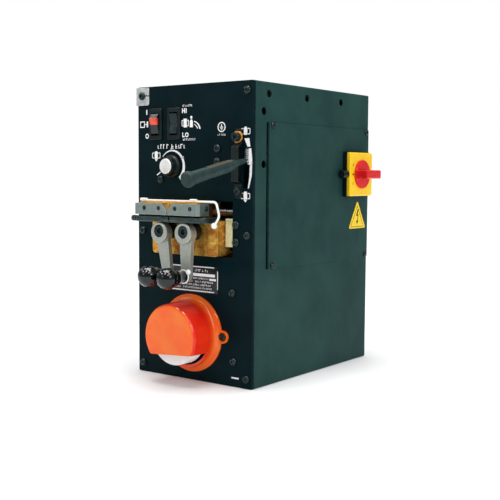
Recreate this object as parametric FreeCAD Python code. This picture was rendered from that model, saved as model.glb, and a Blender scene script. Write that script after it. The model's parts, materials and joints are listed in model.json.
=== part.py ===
"""Bench welder for band-saw blades: a sheet-steel cabinet with brass electrode jaws, two clamp
levers, a weld lever, a force knob, three switches and a small guarded grinding wheel.

Millimetres. +Z is up, the front panel faces -Y, and the origin is the centre of the cabinet's base.
"""
import math
import os

import FreeCAD
import Part

os.makedirs("parts", exist_ok=True)

# ---- driving dimensions ----
CAB_W = 202.0
CAB_D = 291.0
CAB_H = 400.0
SHEET_T = 2.0
FLANGE_W = 14.0
PANEL_T = 4.5
FRONT_Y = -CAB_D / 2
BACK_Y = CAB_D / 2
HALF_W = CAB_W / 2
RUN_FIT = 0.05
GAP = 0.3

WINDOW_X = (-75.0, 68.0)
WINDOW_Z = (170.7, 244.7)

JAW_GAP_X = (-7.3, -5.8)
JAW_Z = (172.5, 242.6)
JAW_FACE = 15.0
NOSE_FACE = 39.0
PLATE_FACE = 45.0
NOSE_Z = 226.6
JAW_DEPTH = 35.0
FIXED_END_X = 55.0
MOVING_END_X = -60.0

CLAMP_Z = 204.4
CLAMP_X_FIXED = 16.4
CLAMP_X_MOVING = -26.0
CLAMP_SHAFT_R = 8.0
CLAMP_BOSS_R = 14.1
CLAMP_BOSS_DROP = 2.2
DRUM_R = 11.8
ARM_BOSS_FACE = 40.0
ARM_FACE = 34.5
ARM_BACK = 28.0
ARM_LENGTH = 58.3
ARM_TILT_MOVING = 9.5
CLAMP_LIFT = 2.0

ROD_R = 6.0
ROD_BACK = 20.0
ROD_Z = (186.0, 230.0)

LEVER_X = 88.5
LEVER_TILT = 12.0
PIVOT_BACK = 60.0
PIVOT_Z = 310.6
PIVOT_SHAFT_R = 7.0
SPRING_SEAT_Z = 356.0
SLOT_X = (83.6, 93.6)
SLOT_Z = (262.0, 315.0)

KNOB_X = -37.5
KNOB_Z = 290.5
SWITCH_Z = 348.2
GRINDER_SWITCH_X = -66.7
HEAT_SWITCH_X = -33.0
SWITCH_W = 23.6
SWITCH_H = 43.0
KEY_HALF_W = 6.6
KEY_PIVOT_R = 1.8
KEY_PIVOT_REACH = KEY_HALF_W + 1.5

WHEEL_X = -2.0
WHEEL_Z = 65.0
WHEEL_R = 39.0
WHEEL_FACES = (17.0, 38.5)
GUARD_R = 53.2
EAR_SEAT = 1.1
GUARD_CUT_Z = 41.4
GUARD_CUT_TILT = 3.6

ISOLATOR_Y = FRONT_Y + 249.5
ISOLATOR_Z = 281.0
COVER_Y = (FRONT_Y + 33.5, BACK_Y)
COVER_Z = (155.8, 348.0)
COVER_T = 1.2
SIDE_HOLE_R = 5.25
SIDE_ROW_Z = 384.7
SIDE_ROW_FIRST_Y = FRONT_Y + 34.0
SIDE_ROW_PITCH = 89.0
SIDE_PAIR_Y = FRONT_Y + 23.0
SIDE_PAIR_Z = (293.3, 361.7)

PANEL_SCREWS = [(side * 91.5, z) for side in (-1, 1) for z in (13.0, 201.0, 387.5)]
BRACKET_SCREWS = [
    (42.4, 313.7),
    (42.4, 296.6),
    (-57.8, 272.4),
    (73.7, 214.1),
    (73.7, 191.4),
    (67.9, 124.6),
    (69.9, 33.7),
]
CLIP_T = 1.5


# ---- helpers ----
def vec(x, y, z):
    return FreeCAD.Vector(x, y, z)


X_AXIS = vec(1, 0, 0)
Y_AXIS = vec(0, 1, 0)
Z_AXIS = vec(0, 0, 1)


def proud(distance):
    """Y of a plane standing this far in front of the front panel's outer face."""
    return FRONT_Y - distance


def behind(distance):
    """Y of a plane this far behind the front panel's outer face."""
    return FRONT_Y + distance


def box(x_range, y_range, z_range):
    x0, x1 = sorted(x_range)
    y0, y1 = sorted(y_range)
    z0, z1 = sorted(z_range)
    return Part.makeBox(x1 - x0, y1 - y0, z1 - z0, vec(x0, y0, z0))


def rod_x(y, z, radius, x_range):
    x0, x1 = sorted(x_range)
    return Part.makeCylinder(radius, x1 - x0, vec(x0, y, z), X_AXIS)


def rod_y(x, z, radius, y_range):
    y0, y1 = sorted(y_range)
    return Part.makeCylinder(radius, y1 - y0, vec(x, y0, z), Y_AXIS)


def rod_z(x, y, radius, z_range):
    z0, z1 = sorted(z_range)
    return Part.makeCylinder(radius, z1 - z0, vec(x, y, z0), Z_AXIS)


def prism(points, travel):
    """Solid swept from a closed polygon of 3-D points along a vector."""
    return Part.Face(Part.makePolygon(points + points[:1])).extrude(travel)


def prism_y(points, y_range):
    y0, y1 = sorted(y_range)
    return prism([vec(x, y0, z) for x, z in points], vec(0, y1 - y0, 0))


def prism_x(points, x_range):
    x0, x1 = sorted(x_range)
    return prism([vec(x0, y, z) for y, z in points], vec(x1 - x0, 0, 0))


def prism_z(points, z_range):
    z0, z1 = sorted(z_range)
    return prism([vec(x, y, z0) for x, y in points], vec(0, 0, z1 - z0))


def turned(profile, base, direction):
    """Solid of revolution from (radius, height) points, standing on base along direction."""
    points = [vec(r, 0, h) for r, h in profile]
    solid = Part.Face(Part.makePolygon(points + points[:1])).revolve(vec(0, 0, 0), Z_AXIS, 360)
    solid.Placement = FreeCAD.Placement(base, FreeCAD.Rotation(Z_AXIS, direction))
    return solid


def hexagon(across_flats, depth, base, direction):
    radius = across_flats / math.sqrt(3)
    corners = [math.radians(60 * i) for i in range(6)]
    solid = prism([vec(radius * math.cos(a), radius * math.sin(a), 0) for a in corners], vec(0, 0, depth))
    solid.Placement = FreeCAD.Placement(base, FreeCAD.Rotation(Z_AXIS, direction))
    return solid


def arc_profile(radius, height, rim, steps=6):
    """Points of a domed head, from its rim up to its flat crown."""
    crown = radius * 0.5
    angles = [math.pi / 2 * i / steps for i in range(steps + 1)]
    return [(crown + (radius - crown) * math.cos(a), rim + (height - rim) * math.sin(a)) for a in angles]


def button_screw(base, direction, head_r=5.5, head_h=3.3, shank_r=2.5, shank_l=12.0):
    profile = [(0, -shank_l), (shank_r, -shank_l), (shank_r, 0), (head_r, 0)]
    profile += arc_profile(head_r, head_h, head_h * 0.2) + [(0, head_h)]
    socket = hexagon(head_r * 0.72, head_h, base + direction * (head_h * 0.4), direction)
    return turned(profile, base, direction).cut(socket)


def cap_screw(base, direction, head_r, head_h, shank_r, shank_l):
    bevel = head_r * 0.1
    profile = [(0, -shank_l), (shank_r, -shank_l), (shank_r, 0), (head_r, 0)]
    profile += [(head_r, head_h - bevel), (head_r - bevel, head_h), (0, head_h)]
    socket = hexagon(head_r * 1.0, head_h, base + direction * (head_h * 0.45), direction)
    return turned(profile, base, direction).cut(socket)


def fused(*shapes):
    whole = shapes[0]
    for shape in shapes[1:]:
        whole = whole.fuse(shape)
    return whole.removeSplitter()


def without(shape, cutters):
    for cutter in cutters:
        shape = shape.cut(cutter)
    return shape


def round_edges(shape, radius, wanted):
    edges = [edge for edge in shape.Edges if wanted(edge)]
    return shape.makeFillet(radius, edges)


def bevel_edges(shape, size, wanted):
    edges = [edge for edge in shape.Edges if wanted(edge)]
    return shape.makeChamfer(size, edges)


def runs_along(edge, axis):
    if not isinstance(edge.Curve, (Part.Line, Part.LineSegment)):
        return False
    direction = edge.tangentAt(edge.FirstParameter)
    return abs(direction.dot(axis)) > 0.999


def bent_tube(corners, bend_radii, radius):
    """Round tube along straight legs, with a circular bend of its own radius at each inner corner."""
    legs = []
    start = corners[0]
    for before, corner, after, bend in zip(corners, corners[1:], corners[2:], bend_radii):
        back = (before - corner).normalize()
        onward = (after - corner).normalize()
        half_angle = back.getAngle(onward) / 2
        setback = bend / math.tan(half_angle)
        towards_centre = (back + onward).normalize()
        deepest = corner + towards_centre * (bend / math.sin(half_angle) - bend)
        legs.append(Part.makeLine(start, corner + back * setback))
        start = corner + onward * setback
        legs.append(Part.Arc(corner + back * setback, deepest, start).toShape())
    legs.append(Part.makeLine(start, corners[-1]))
    section = Part.Wire(Part.makeCircle(radius, corners[0], corners[1] - corners[0]))
    return Part.Wire(legs).makePipeShell([section], True, True)


def turned_about(shape, point, axis, degrees):
    copy = shape.copy()
    copy.rotate(point, axis, degrees)
    return copy


PARTS = {}


def keep(name, *solids):
    PARTS[name] = solids[0] if len(solids) == 1 else Part.makeCompound(list(solids))


# ---- cabinet ----
def cabinet_shell():
    skin = box((-HALF_W, HALF_W), (behind(PANEL_T), BACK_Y), (0, CAB_H))
    skin = round_edges(skin, 2.5, lambda e: runs_along(e, Y_AXIS))
    inside_y = (behind(PANEL_T + SHEET_T), BACK_Y - SHEET_T)
    inside = box((SHEET_T - HALF_W, HALF_W - SHEET_T), inside_y, (SHEET_T, CAB_H - SHEET_T))
    mouth = FLANGE_W - HALF_W
    openings = box((mouth, -mouth), (behind(0), BACK_Y + 1), (FLANGE_W, CAB_H - FLANGE_W))
    cutters = [inside, openings]
    wall_x = (HALF_W - SHEET_T - 1, HALF_W + 1)
    cutters.append(box(wall_x, (COVER_Y[0] + 15, COVER_Y[1] - 16), (COVER_Z[0] + 15, COVER_Z[1] - 15)))
    cutters.append(box(wall_x, (COVER_Y[0] - 5, COVER_Y[0]), (COVER_Z[0], COVER_Z[1])))
    for i in range(3):
        cutters.append(rod_x(SIDE_ROW_FIRST_Y + i * SIDE_ROW_PITCH, SIDE_ROW_Z, SIDE_HOLE_R, wall_x))
    for z in SIDE_PAIR_Z:
        cutters.append(rod_x(SIDE_PAIR_Y, z, SIDE_HOLE_R, wall_x))
    for y, z in cover_screw_points():
        cutters.append(rod_x(y, z, 2.1, wall_x))
    for x, z in PANEL_SCREWS:
        cutters.append(rod_y(x, z, 2.6, (behind(0), behind(8))))
    for x, z in rear_screw_points():
        cutters.append(rod_y(x, z, 2.1, (BACK_Y - 4, BACK_Y + 1)))
    cutters.append(box(SLOT_X, (behind(PANEL_T - 1), behind(PANEL_T + SHEET_T + 1)), SLOT_Z))
    shelf = box((1 - HALF_W, HALF_W - 1), (behind(50), BACK_Y - 22), (128, 130))
    return fused(without(skin, cutters), shelf)


def cover_screw_points():
    return [(y, z) for y in (COVER_Y[0] + 7.5, COVER_Y[1] - 7) for z in (COVER_Z[0] + 4.2, COVER_Z[1] - 4)]


def rear_screw_points():
    return [(side * 93.0, z) for side in (-1, 1) for z in (8.0, 200.0, 392.0)]


def front_panel():
    plate = box((-HALF_W, HALF_W), (behind(0), behind(PANEL_T)), (0, CAB_H))
    plate = round_edges(plate, 2.5, lambda e: runs_along(e, Y_AXIS))
    plate = bevel_edges(plate, 0.6, lambda e: e.BoundBox.YMax < behind(0.1))
    through = (behind(-1), behind(PANEL_T + 1))
    cutters = [box(WINDOW_X, through, WINDOW_Z)]
    slot = box(SLOT_X, through, SLOT_Z)
    cutters.append(round_edges(slot, 4.0, lambda e: runs_along(e, Y_AXIS)))
    for x in (GRINDER_SWITCH_X, HEAT_SWITCH_X):
        reach_x = SWITCH_W / 2 - 2.5
        reach_z = SWITCH_H / 2 - 3
        cutters.append(box((x - reach_x, x + reach_x), through, (SWITCH_Z - reach_z, SWITCH_Z + reach_z)))
    cutters.append(rod_y(KNOB_X, KNOB_Z, 5.0, through))
    cutters.append(rod_y(WHEEL_X, WHEEL_Z, 16.0, through))
    for x, z in PANEL_SCREWS + BRACKET_SCREWS + guard_screw_points():
        cutters.append(rod_y(x, z, 2.6, through))
    for z in STRAP_SCREW_Z:
        cutters.append(rod_y(STRAP_SCREW_X, z, 2.6, through))
    return without(plate, cutters)


def panel_screws():
    screws = []
    for x, z in PANEL_SCREWS:
        on_clip = x < 0 and z > CAB_H / 2 + 100
        face = CLIP_T if on_clip else 0.0
        screws.append(button_screw(vec(x, proud(face), z), -Y_AXIS, shank_l=11 + face))
    for x, z in BRACKET_SCREWS:
        screws.append(button_screw(vec(x, proud(0), z), -Y_AXIS, shank_l=8))
    for x, z in guard_screw_points():
        screws.append(button_screw(vec(x, proud(EAR_SEAT), z), -Y_AXIS, shank_l=9))
    return screws


def corner_clip():
    edge_x = -HALF_W - 0.2
    front = box((edge_x - CLIP_T, -79.0), (proud(0), proud(CLIP_T)), (374.5, 399.0))
    leg = box((edge_x - CLIP_T, edge_x), (proud(CLIP_T), behind(16)), (374.5, 399.0))
    clip = fused(front, leg)
    hole_x, hole_z = PANEL_SCREWS[2]
    clip = round_edges(clip, 3.0, lambda e: runs_along(e, Y_AXIS) and e.BoundBox.XMin > -80)
    hole = rod_y(hole_x, hole_z, 2.8, (proud(2), behind(1)))
    slit = box((hole_x, -78.0), (proud(2), behind(1)), (hole_z - 0.7, hole_z + 0.7))
    return without(clip, [hole, slit])


NAMEPLATE_X = (-48.0, 44.0)
NAMEPLATE_Z = (121.0, 157.0)


def nameplate():
    plate = box(NAMEPLATE_X, (proud(0), proud(0.8)), NAMEPLATE_Z)
    return round_edges(plate, 1.5, lambda e: runs_along(e, Y_AXIS))


def side_cover():
    plate = box((HALF_W, HALF_W + COVER_T), COVER_Y, COVER_Z)
    plate = round_edges(plate, 2.0, lambda e: runs_along(e, X_AXIS))
    wall = (HALF_W - 1, HALF_W + 3)
    holes = [rod_x(y, z, 2.2, wall) for y, z in cover_screw_points()]
    holes.append(rod_x(ISOLATOR_Y, ISOLATOR_Z, 9.0, wall))
    return without(plate, holes)


def cover_screws():
    screws = []
    for y, z in cover_screw_points():
        base = vec(HALF_W + COVER_T, y, z)
        screws.append(button_screw(base, X_AXIS, head_r=4.2, head_h=2.4, shank_r=2.0, shank_l=6))
    for x, z in rear_screw_points():
        base = vec(x, BACK_Y + REAR_T, z)
        screws.append(button_screw(base, Y_AXIS, head_r=4.2, head_h=2.4, shank_r=2.0, shank_l=6))
    return screws


REAR_T = 1.5
GLAND_X = -60.0
GLAND_Z = 45.0


def rear_cover():
    plate = box((-98, 98), (BACK_Y, BACK_Y + REAR_T), (3, 397))
    plate = round_edges(plate, 3.0, lambda e: runs_along(e, Y_AXIS))
    through = (BACK_Y - 1, BACK_Y + REAR_T + 1)
    cutters = [rod_y(x, z, 2.2, through) for x, z in rear_screw_points()]
    cutters.append(rod_y(GLAND_X, GLAND_Z, 8.1, through))
    for x in (-40.0, 40.0):
        for i in range(8):
            z = 290.0 + i * 10.0
            louvre = box((x - 30, x + 30), through, (z - 2, z + 2))
            cutters.append(round_edges(louvre, 1.9, lambda e: runs_along(e, Y_AXIS)))
    return without(plate, cutters)


def cable_gland():
    base = vec(GLAND_X, BACK_Y + REAR_T, GLAND_Z)
    bore = turned([(0, 8), (4.5, 8), (4.5, 30), (0, 30)], base, Y_AXIS)
    body = turned([(0, -7), (7.9, -7), (7.9, 0), (12, 0), (12, 2), (0, 2)], base, Y_AXIS)
    body = fused(body, hexagon(22, 7, base + Y_AXIS * 2, Y_AXIS))
    dome = turned([(0, 9), (10.5, 9), (10.5, 17), (8.5, 21), (6.5, 23), (0, 23)], base, Y_AXIS)
    nut = hexagon(21, 5, base - Y_AXIS * (REAR_T + 6), Y_AXIS)
    nut = nut.cut(rod_y(GLAND_X, GLAND_Z, 7.8, (BACK_Y - 12, BACK_Y)))
    return fused(body, dome, nut).cut(bore)


def hazard_label():
    apex_y = FRONT_Y + 260.0
    half_side = 24.5
    base_z = 200.0
    points = [(apex_y - half_side, base_z), (apex_y + half_side, base_z), (apex_y, base_z + 42.0)]
    label = prism_x(points, (HALF_W + COVER_T, HALF_W + COVER_T + 0.4))
    return round_edges(label, 2.5, lambda e: runs_along(e, X_AXIS))


# ---- isolator on the side cover ----
ISO_FACE = HALF_W + COVER_T


def square_on_side(half, x_range):
    y_range = (ISOLATOR_Y - half, ISOLATOR_Y + half)
    return box(x_range, y_range, (ISOLATOR_Z - half, ISOLATOR_Z + half))


def isolator_body():
    """Black moulding on both sides of the cover, with screw terminals at its inner end."""
    front = square_on_side(33.0, (ISO_FACE, ISO_FACE + 6.8))
    front = round_edges(front, 3.0, lambda e: runs_along(e, X_AXIS))
    body = square_on_side(22.0, (HALF_W - 46, HALF_W - 0.2))
    body = round_edges(body, 2.0, lambda e: runs_along(e, X_AXIS))
    neck = rod_x(ISOLATOR_Y, ISOLATOR_Z, 8.8, (HALF_W - 3, ISO_FACE + 1))
    terminals = []
    for dy in (-14.0, 0.0, 14.0):
        for z in (ISOLATOR_Z - 24.0, ISOLATOR_Z + 20.0):
            y = ISOLATOR_Y + dy
            terminals.append(box((HALF_W - 36, HALF_W - 26), (y - 4, y + 4), (z, z + 4)))
    entry = rod_y(ISO_FACE + 6.0, ISOLATOR_Z, 5.7, (ISOLATOR_Y - 46, ISOLATOR_Y - 32.2))
    whole = fused(front, body, neck, entry, *terminals)
    return whole.cut(rod_x(ISOLATOR_Y, ISOLATOR_Z, 4.0, (ISO_FACE - 13, ISO_FACE + 8)))


def isolator_plate():
    face = ISO_FACE + 6.8
    plate = square_on_side(32.0, (face, face + 6.0))
    plate = round_edges(plate, 3.0, lambda e: runs_along(e, X_AXIS))
    plate = bevel_edges(plate, 1.6, lambda e: e.BoundBox.XMin > face + 5.9)
    return plate.cut(rod_x(ISOLATOR_Y, ISOLATOR_Z, 8.0, (face - 1, face + 7)))


def isolator_knob():
    face = ISO_FACE + 12.8 + GAP
    disc = turned([(0, 0), (21, 0), (21, 2), (20, 3), (0, 3)], vec(face, ISOLATOR_Y, ISOLATOR_Z), X_AXIS)
    reach = 20.5
    half = 6.2
    height = 21.5
    y_range = (ISOLATOR_Y - reach, ISOLATOR_Y + reach)
    grip = box((face + 2, face + height), y_range, (ISOLATOR_Z - half, ISOLATOR_Z + half))
    grip = round_edges(grip, 2.0, lambda e: e.BoundBox.XMax > face + height - 0.1)
    shaft = rod_x(ISOLATOR_Y, ISOLATOR_Z, 3.95, (ISO_FACE - 12, face + 1))
    return fused(disc, grip, shaft)


# ---- switches ----
def switch_housing(x):
    reach_x = SWITCH_W / 2
    reach_z = SWITCH_H / 2
    z_range = (SWITCH_Z - reach_z, SWITCH_Z + reach_z)
    bezel = box((x - reach_x, x + reach_x), (proud(0), proud(2.6)), z_range)
    bezel = round_edges(bezel, 2.0, lambda e: runs_along(e, Y_AXIS))
    bezel = bevel_edges(bezel, 0.8, lambda e: e.BoundBox.YMax < proud(2.5))
    can_x = (x - reach_x + 2.7, x + reach_x - 2.7)
    can = box(can_x, (behind(0), behind(30)), (z_range[0] + 3.2, z_range[1] - 3.2))
    tabs = []
    for z in (SWITCH_Z - 12, SWITCH_Z, SWITCH_Z + 12):
        tabs.append(box((x - 3, x + 3), (behind(30), behind(38)), (z, z + 0.8)))
    reach = KEY_HALF_W + 0.5
    well = box((x - reach, x + reach), (proud(4), behind(14)), (SWITCH_Z - 15.6, SWITCH_Z + 15.6))
    bearing_end = KEY_PIVOT_REACH + 0.2
    bearings = rod_x(FRONT_Y, SWITCH_Z, KEY_PIVOT_R + RUN_FIT, (x - bearing_end, x + bearing_end))
    return without(fused(bezel, can, *tabs), [well, bearings])


def pivoted_key(x, outline):
    """Rocker or paddle swept across the switch, with pivot stubs whose axis is on the panel face."""
    points = [(proud(distance), SWITCH_Z + z) for distance, z in outline]
    key = prism_x(points, (x - KEY_HALF_W, x + KEY_HALF_W))
    key = round_edges(key, 0.5, lambda e: runs_along(e, X_AXIS) and e.BoundBox.YMax < proud(2))
    stubs = rod_x(FRONT_Y, SWITCH_Z, KEY_PIVOT_R, (x - KEY_PIVOT_REACH, x + KEY_PIVOT_REACH))
    return fused(key, stubs)


PADDLE_OUTLINE = [
    (-7.0, -6.0),
    (1.0, -13.6),
    (2.6, -12.8),
    (5.0, -1.2),
    (7.4, 7.4),
    (6.4, 9.0),
    (2.8, 14.0),
    (1.0, 14.2),
    (-7.0, 6.0),
]
ROCKER_OUTLINE = [
    (-7.0, -7.0),
    (1.0, -13.9),
    (3.8, -13.2),
    (1.6, 0.0),
    (3.8, 13.2),
    (1.0, 13.9),
    (-7.0, 7.0),
]


# ---- force knob and its stop cam ----
def force_knob():
    base = vec(KNOB_X, proud(0.6), KNOB_Z)
    skirt = [(0, 0), (15.8, 0), (16.0, 0.8), (15.4, 3.0), (13.6, 5.0)]
    crown = [(12.6, 12.0), (12.0, 12.6), (0, 12.6)]
    body = turned(skirt + crown, base, -Y_AXIS)
    flutes = []
    for i in range(24):
        angle = math.radians(15 * i)
        x = KNOB_X + 14.1 * math.cos(angle)
        z = KNOB_Z + 14.1 * math.sin(angle)
        flutes.append(rod_y(x, z, 0.75, (proud(5.6), proud(14))))
    bore = rod_y(KNOB_X, KNOB_Z, 4.0, (proud(0), proud(9)))
    recess = rod_y(KNOB_X, KNOB_Z, 10.4, (proud(12.4), proud(14)))
    return without(body, flutes + [bore, recess])


def force_knob_cap():
    base = vec(KNOB_X, proud(12.4), KNOB_Z)
    return turned([(0, 0), (10.3, 0), (10.3, 1.5), (9.7, 2.1), (8.6, 1.8), (0, 1.5)], base, -Y_AXIS)


CAM_Y = (behind(82), behind(94))
CAM_R = 13.0
CAM_THROW = 1.8


def force_cam_shaft():
    shaft = rod_y(KNOB_X, KNOB_Z, 3.95, (proud(8.5), behind(96)))
    cam = rod_y(KNOB_X, KNOB_Z + CAM_THROW, CAM_R, CAM_Y)
    collar = rod_y(KNOB_X, KNOB_Z, 7.0, (behind(PANEL_T + GAP), behind(10)))
    return fused(shaft, cam, collar)


# ---- weld lever ----
PIVOT = vec(LEVER_X, behind(PIVOT_BACK), PIVOT_Z)
ARM_X = KNOB_X


def tilted(shape):
    return turned_about(shape, PIVOT, X_AXIS, LEVER_TILT)


def ring_on_shaft(radius, x_range):
    bore_x = (min(x_range) - 1, max(x_range) + 1)
    return rod_x(PIVOT.y, PIVOT.z, radius, x_range), rod_x(PIVOT.y, PIVOT.z, PIVOT_SHAFT_R, bore_x)


def weld_lever_shaft():
    """Cross shaft with the welded hub and rod that leave the cabinet through the slot."""
    shaft = rod_x(PIVOT.y, PIVOT.z, PIVOT_SHAFT_R, (-62.5, 96.0))
    hub = rod_x(PIVOT.y, PIVOT.z, 12.0, (LEVER_X - 6, LEVER_X + 6))
    rod = rod_y(LEVER_X, PIVOT.z, 2.8, (PIVOT.y - 150, PIVOT.y - 9))
    return tilted(fused(shaft, hub, rod))


GRIP_PROFILE = [
    (3.0, 60.0),
    (3.6, 68.0),
    (4.4, 79.0),
    (5.8, 86.0),
    (7.2, 94.0),
    (7.9, 104.0),
    (7.9, 116.0),
    (7.8, 140.0),
    (8.2, 160.0),
    (8.8, 172.0),
    (9.4, 174.5),
    (9.8, 175.5),
    (9.8, 178.6),
    (9.0, 179.6),
    (0.0, 179.6),
    (0.0, 150.2),
    (3.0, 150.2),
]
RIB_COUNT = 13
RIB_PITCH = 2.8


def weld_lever_grip():
    grip = turned(GRIP_PROFILE, PIVOT, -Y_AXIS)
    across = (LEVER_X - 10, LEVER_X + 10)
    thumb_flat = box(across, (PIVOT.y - 172, PIVOT.y - 141), (PIVOT.z + 6.9, PIVOT.z + 12))
    ribs = []
    for i in range(RIB_COUNT):
        y = PIVOT.y - 104 - i * RIB_PITCH
        ribs.append(box(across, (y - 1.2, y), (PIVOT.z + 6.5, PIVOT.z + 12)))
    return tilted(without(grip, [thumb_flat] + ribs))


def crank():
    """Two-armed crank: one tongue under the spring, one hanging behind the moving jaw."""
    ring, bore = ring_on_shaft(12.0, (-56.0, ARM_X + 6))
    spring_tongue = box((ARM_X - 5, ARM_X + 5), (PIVOT.y + 8, PIVOT.y + 42), (PIVOT.z - 5, PIVOT.z + 5))
    drive_tongue = box((-55.0, -49.0), (PIVOT.y - 5, PIVOT.y + 5), (PIVOT.z - 62, PIVOT.z - 8))
    toe = rod_x(PIVOT.y, PIVOT.z - 62, 5.0, (-56.0, -48.0))
    return fused(ring, spring_tongue, drive_tongue, toe).cut(bore)


def weld_spring():
    wire_r = 1.1
    coil_r = 8.0
    bottom = PIVOT_Z + 5 + wire_r + 0.1
    top = SPRING_SEAT_Z - wire_r - 0.1
    helix = Part.makeHelix((top - bottom) / 7, top - bottom, coil_r)
    start = Part.Wire(Part.makeCircle(wire_r, vec(coil_r, 0, 0), Y_AXIS))
    coil = Part.Wire(helix.Edges).makePipeShell([start], True, True)
    coil.translate(vec(ARM_X, behind(PIVOT_BACK + 33), bottom))
    return coil


def lever_bracket():
    """Bent bracket behind the panel: two cheeks for the shaft and a seat above the spring."""
    strip_z = (PIVOT_Z - 11, PIVOT_Z + 13)
    foot_y = (behind(PANEL_T), behind(PANEL_T + 3))
    foot = box((-64, 64), foot_y, strip_z)
    tabs = [box((-64, -49), foot_y, (264, PIVOT_Z)), box((34, 64), foot_y, (289, PIVOT_Z))]
    right_cheek = box((60, 64), (behind(PANEL_T), behind(PIVOT_BACK + 13)), strip_z)
    seat_y = behind(PIVOT_BACK + 33)
    outline = [
        (behind(PANEL_T), strip_z[0]),
        (behind(PIVOT_BACK + 13), strip_z[0]),
        (seat_y + 14, SPRING_SEAT_Z - 20),
        (seat_y + 14, SPRING_SEAT_Z + 3),
        (seat_y - 14, SPRING_SEAT_Z + 3),
        (behind(42), strip_z[1]),
        (behind(PANEL_T), strip_z[1]),
    ]
    left_cheek = prism_x(outline, (-64, -60))
    seat = box((-62, ARM_X + 14), (seat_y - 14, seat_y + 14), (SPRING_SEAT_Z, SPRING_SEAT_Z + 3))
    bore = rod_x(PIVOT.y, PIVOT.z, PIVOT_SHAFT_R + RUN_FIT, (-66, 66))
    holes = [rod_y(x, z, 2.6, (behind(3), behind(9))) for x, z in BRACKET_SCREWS[:3]]
    return without(fused(foot, right_cheek, left_cheek, seat, *tabs), [bore] + holes)


STRAP_X = (73.0, 83.4)
STRAP_SCREW_X = 78.0
STRAP_SCREW_Z = (328.0, 258.5)
STRAP_T = 2.2
STRAP_FACE = 10.0


def lever_strap():
    top = SLOT_Z[1] + 4.5
    bottom = SLOT_Z[0] + 5.0
    lift = STRAP_FACE - STRAP_T
    outline = [
        (proud(0), top + 19),
        (proud(STRAP_T), top + 19),
        (proud(STRAP_T), top),
        (proud(STRAP_FACE), top - 3.5),
        (proud(STRAP_FACE), bottom + 3.5),
        (proud(STRAP_T), bottom),
        (proud(STRAP_T), bottom - 18),
        (proud(0), bottom - 18),
        (proud(0), bottom + STRAP_T),
        (proud(lift), bottom + 3.5 + STRAP_T),
        (proud(lift), top - 3.5 - STRAP_T),
        (proud(0), top - STRAP_T),
    ]
    strap = prism_x(outline, STRAP_X)
    strap = round_edges(strap, 3.0, lambda e: runs_along(e, Y_AXIS))
    holes = [rod_y(STRAP_SCREW_X, z, 2.7, (proud(4), behind(1))) for z in STRAP_SCREW_Z]
    return without(strap, holes)


def strap_washer():
    base = vec(STRAP_SCREW_X, proud(STRAP_T), STRAP_SCREW_Z[0])
    profile = [(2.7, 0), (7.8, 0), (7.8, 1.8), (7.2, 2.4), (2.7, 2.4)]
    return turned(profile, base, -Y_AXIS)


def strap_screws():
    upper = vec(STRAP_SCREW_X, proud(STRAP_T + 2.4), STRAP_SCREW_Z[0])
    lower = vec(STRAP_SCREW_X, proud(STRAP_T), STRAP_SCREW_Z[1])
    return [
        cap_screw(upper, -Y_AXIS, 6.0, 5.6, 2.5, 12),
        cap_screw(lower, -Y_AXIS, 5.0, 3.2, 2.5, 9),
    ]


def limit_switch():
    body = box((64.0, 77.0), (behind(48), behind(78)), (PIVOT_Z + 14, PIVOT_Z + 34))
    button = rod_z(72.0, behind(70), 2.5, (PIVOT_Z + 34, PIVOT_Z + 37))
    tabs = []
    for y in (behind(52), behind(62), behind(72)):
        tabs.append(box((70.0, 74.0), (y, y + 1), (PIVOT_Z + 10, PIVOT_Z + 14)))
    return fused(body, button, *tabs)


# ---- jaws ----
def jaw_block(x_range, nose_x, inner_end):
    """Brass block: body through the window and a nose that backs the steel jaw plate."""
    back = behind(JAW_DEPTH)
    body = box(x_range, (proud(JAW_FACE), back), (JAW_Z[0], NOSE_Z))
    outer_lower = [e for e in body.Edges if runs_along(e, Y_AXIS) and e.BoundBox.ZMax < JAW_Z[0] + 1]
    body = body.makeFillet(4.0, [e for e in outer_lower if abs(e.BoundBox.XMax - inner_end) > 1])
    head = box(nose_x, (proud(NOSE_FACE), back), (NOSE_Z, JAW_Z[1]))
    block = fused(body, head)
    return block.cut(rod_y(clamp_x(x_range), CLAMP_Z, CLAMP_SHAFT_R + RUN_FIT, (proud(50), back + 1)))


def clamp_x(x_range):
    return CLAMP_X_FIXED if max(x_range) > 0 else CLAMP_X_MOVING


FIXED_X = (JAW_GAP_X[1], FIXED_END_X)
MOVING_X = (MOVING_END_X, JAW_GAP_X[0])


FIXED_NOSE_END = 41.9
NOSE_STEM_END = 20.0
NOSE_STEM_BACK = 10.0
SHOULDER_Z = 219.0


def fixed_jaw_block():
    """The right block; its top is stepped down behind and beside the nose."""
    block = jaw_block(FIXED_X, (JAW_GAP_X[1], FIXED_NOSE_END), JAW_GAP_X[1])
    step_z = (SHOULDER_Z, JAW_Z[1] + 1)
    beside_y = (proud(JAW_FACE + 1), behind(JAW_DEPTH + 1))
    behind_y = (proud(NOSE_STEM_BACK), behind(JAW_DEPTH + 1))
    block = block.cut(box((FIXED_NOSE_END, FIXED_END_X + 1), beside_y, step_z))
    block = block.cut(box((NOSE_STEM_END, FIXED_END_X + 1), behind_y, step_z))
    for z in ROD_Z:
        block = block.cut(rod_x(behind(ROD_BACK), z, ROD_R + 3.5, (-10, 60)))
    return block


def moving_jaw_block():
    block = jaw_block(MOVING_X, (-61.9, JAW_GAP_X[0]), JAW_GAP_X[0])
    for z in ROD_Z:
        block = block.cut(rod_x(behind(ROD_BACK), z, ROD_R + RUN_FIT, (-70, 0)))
    return block


PLATE_Z = (226.2, 241.2)
FIXED_PLATE_END = 47.0
MOVING_PLATE_END = -67.0
FIXED_PLATE_SCREWS = (7.0, 33.0)
MOVING_PLATE_SCREWS = (-47.5, -22.0)
SIDE_SCREW_BACK = 29.0


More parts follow.
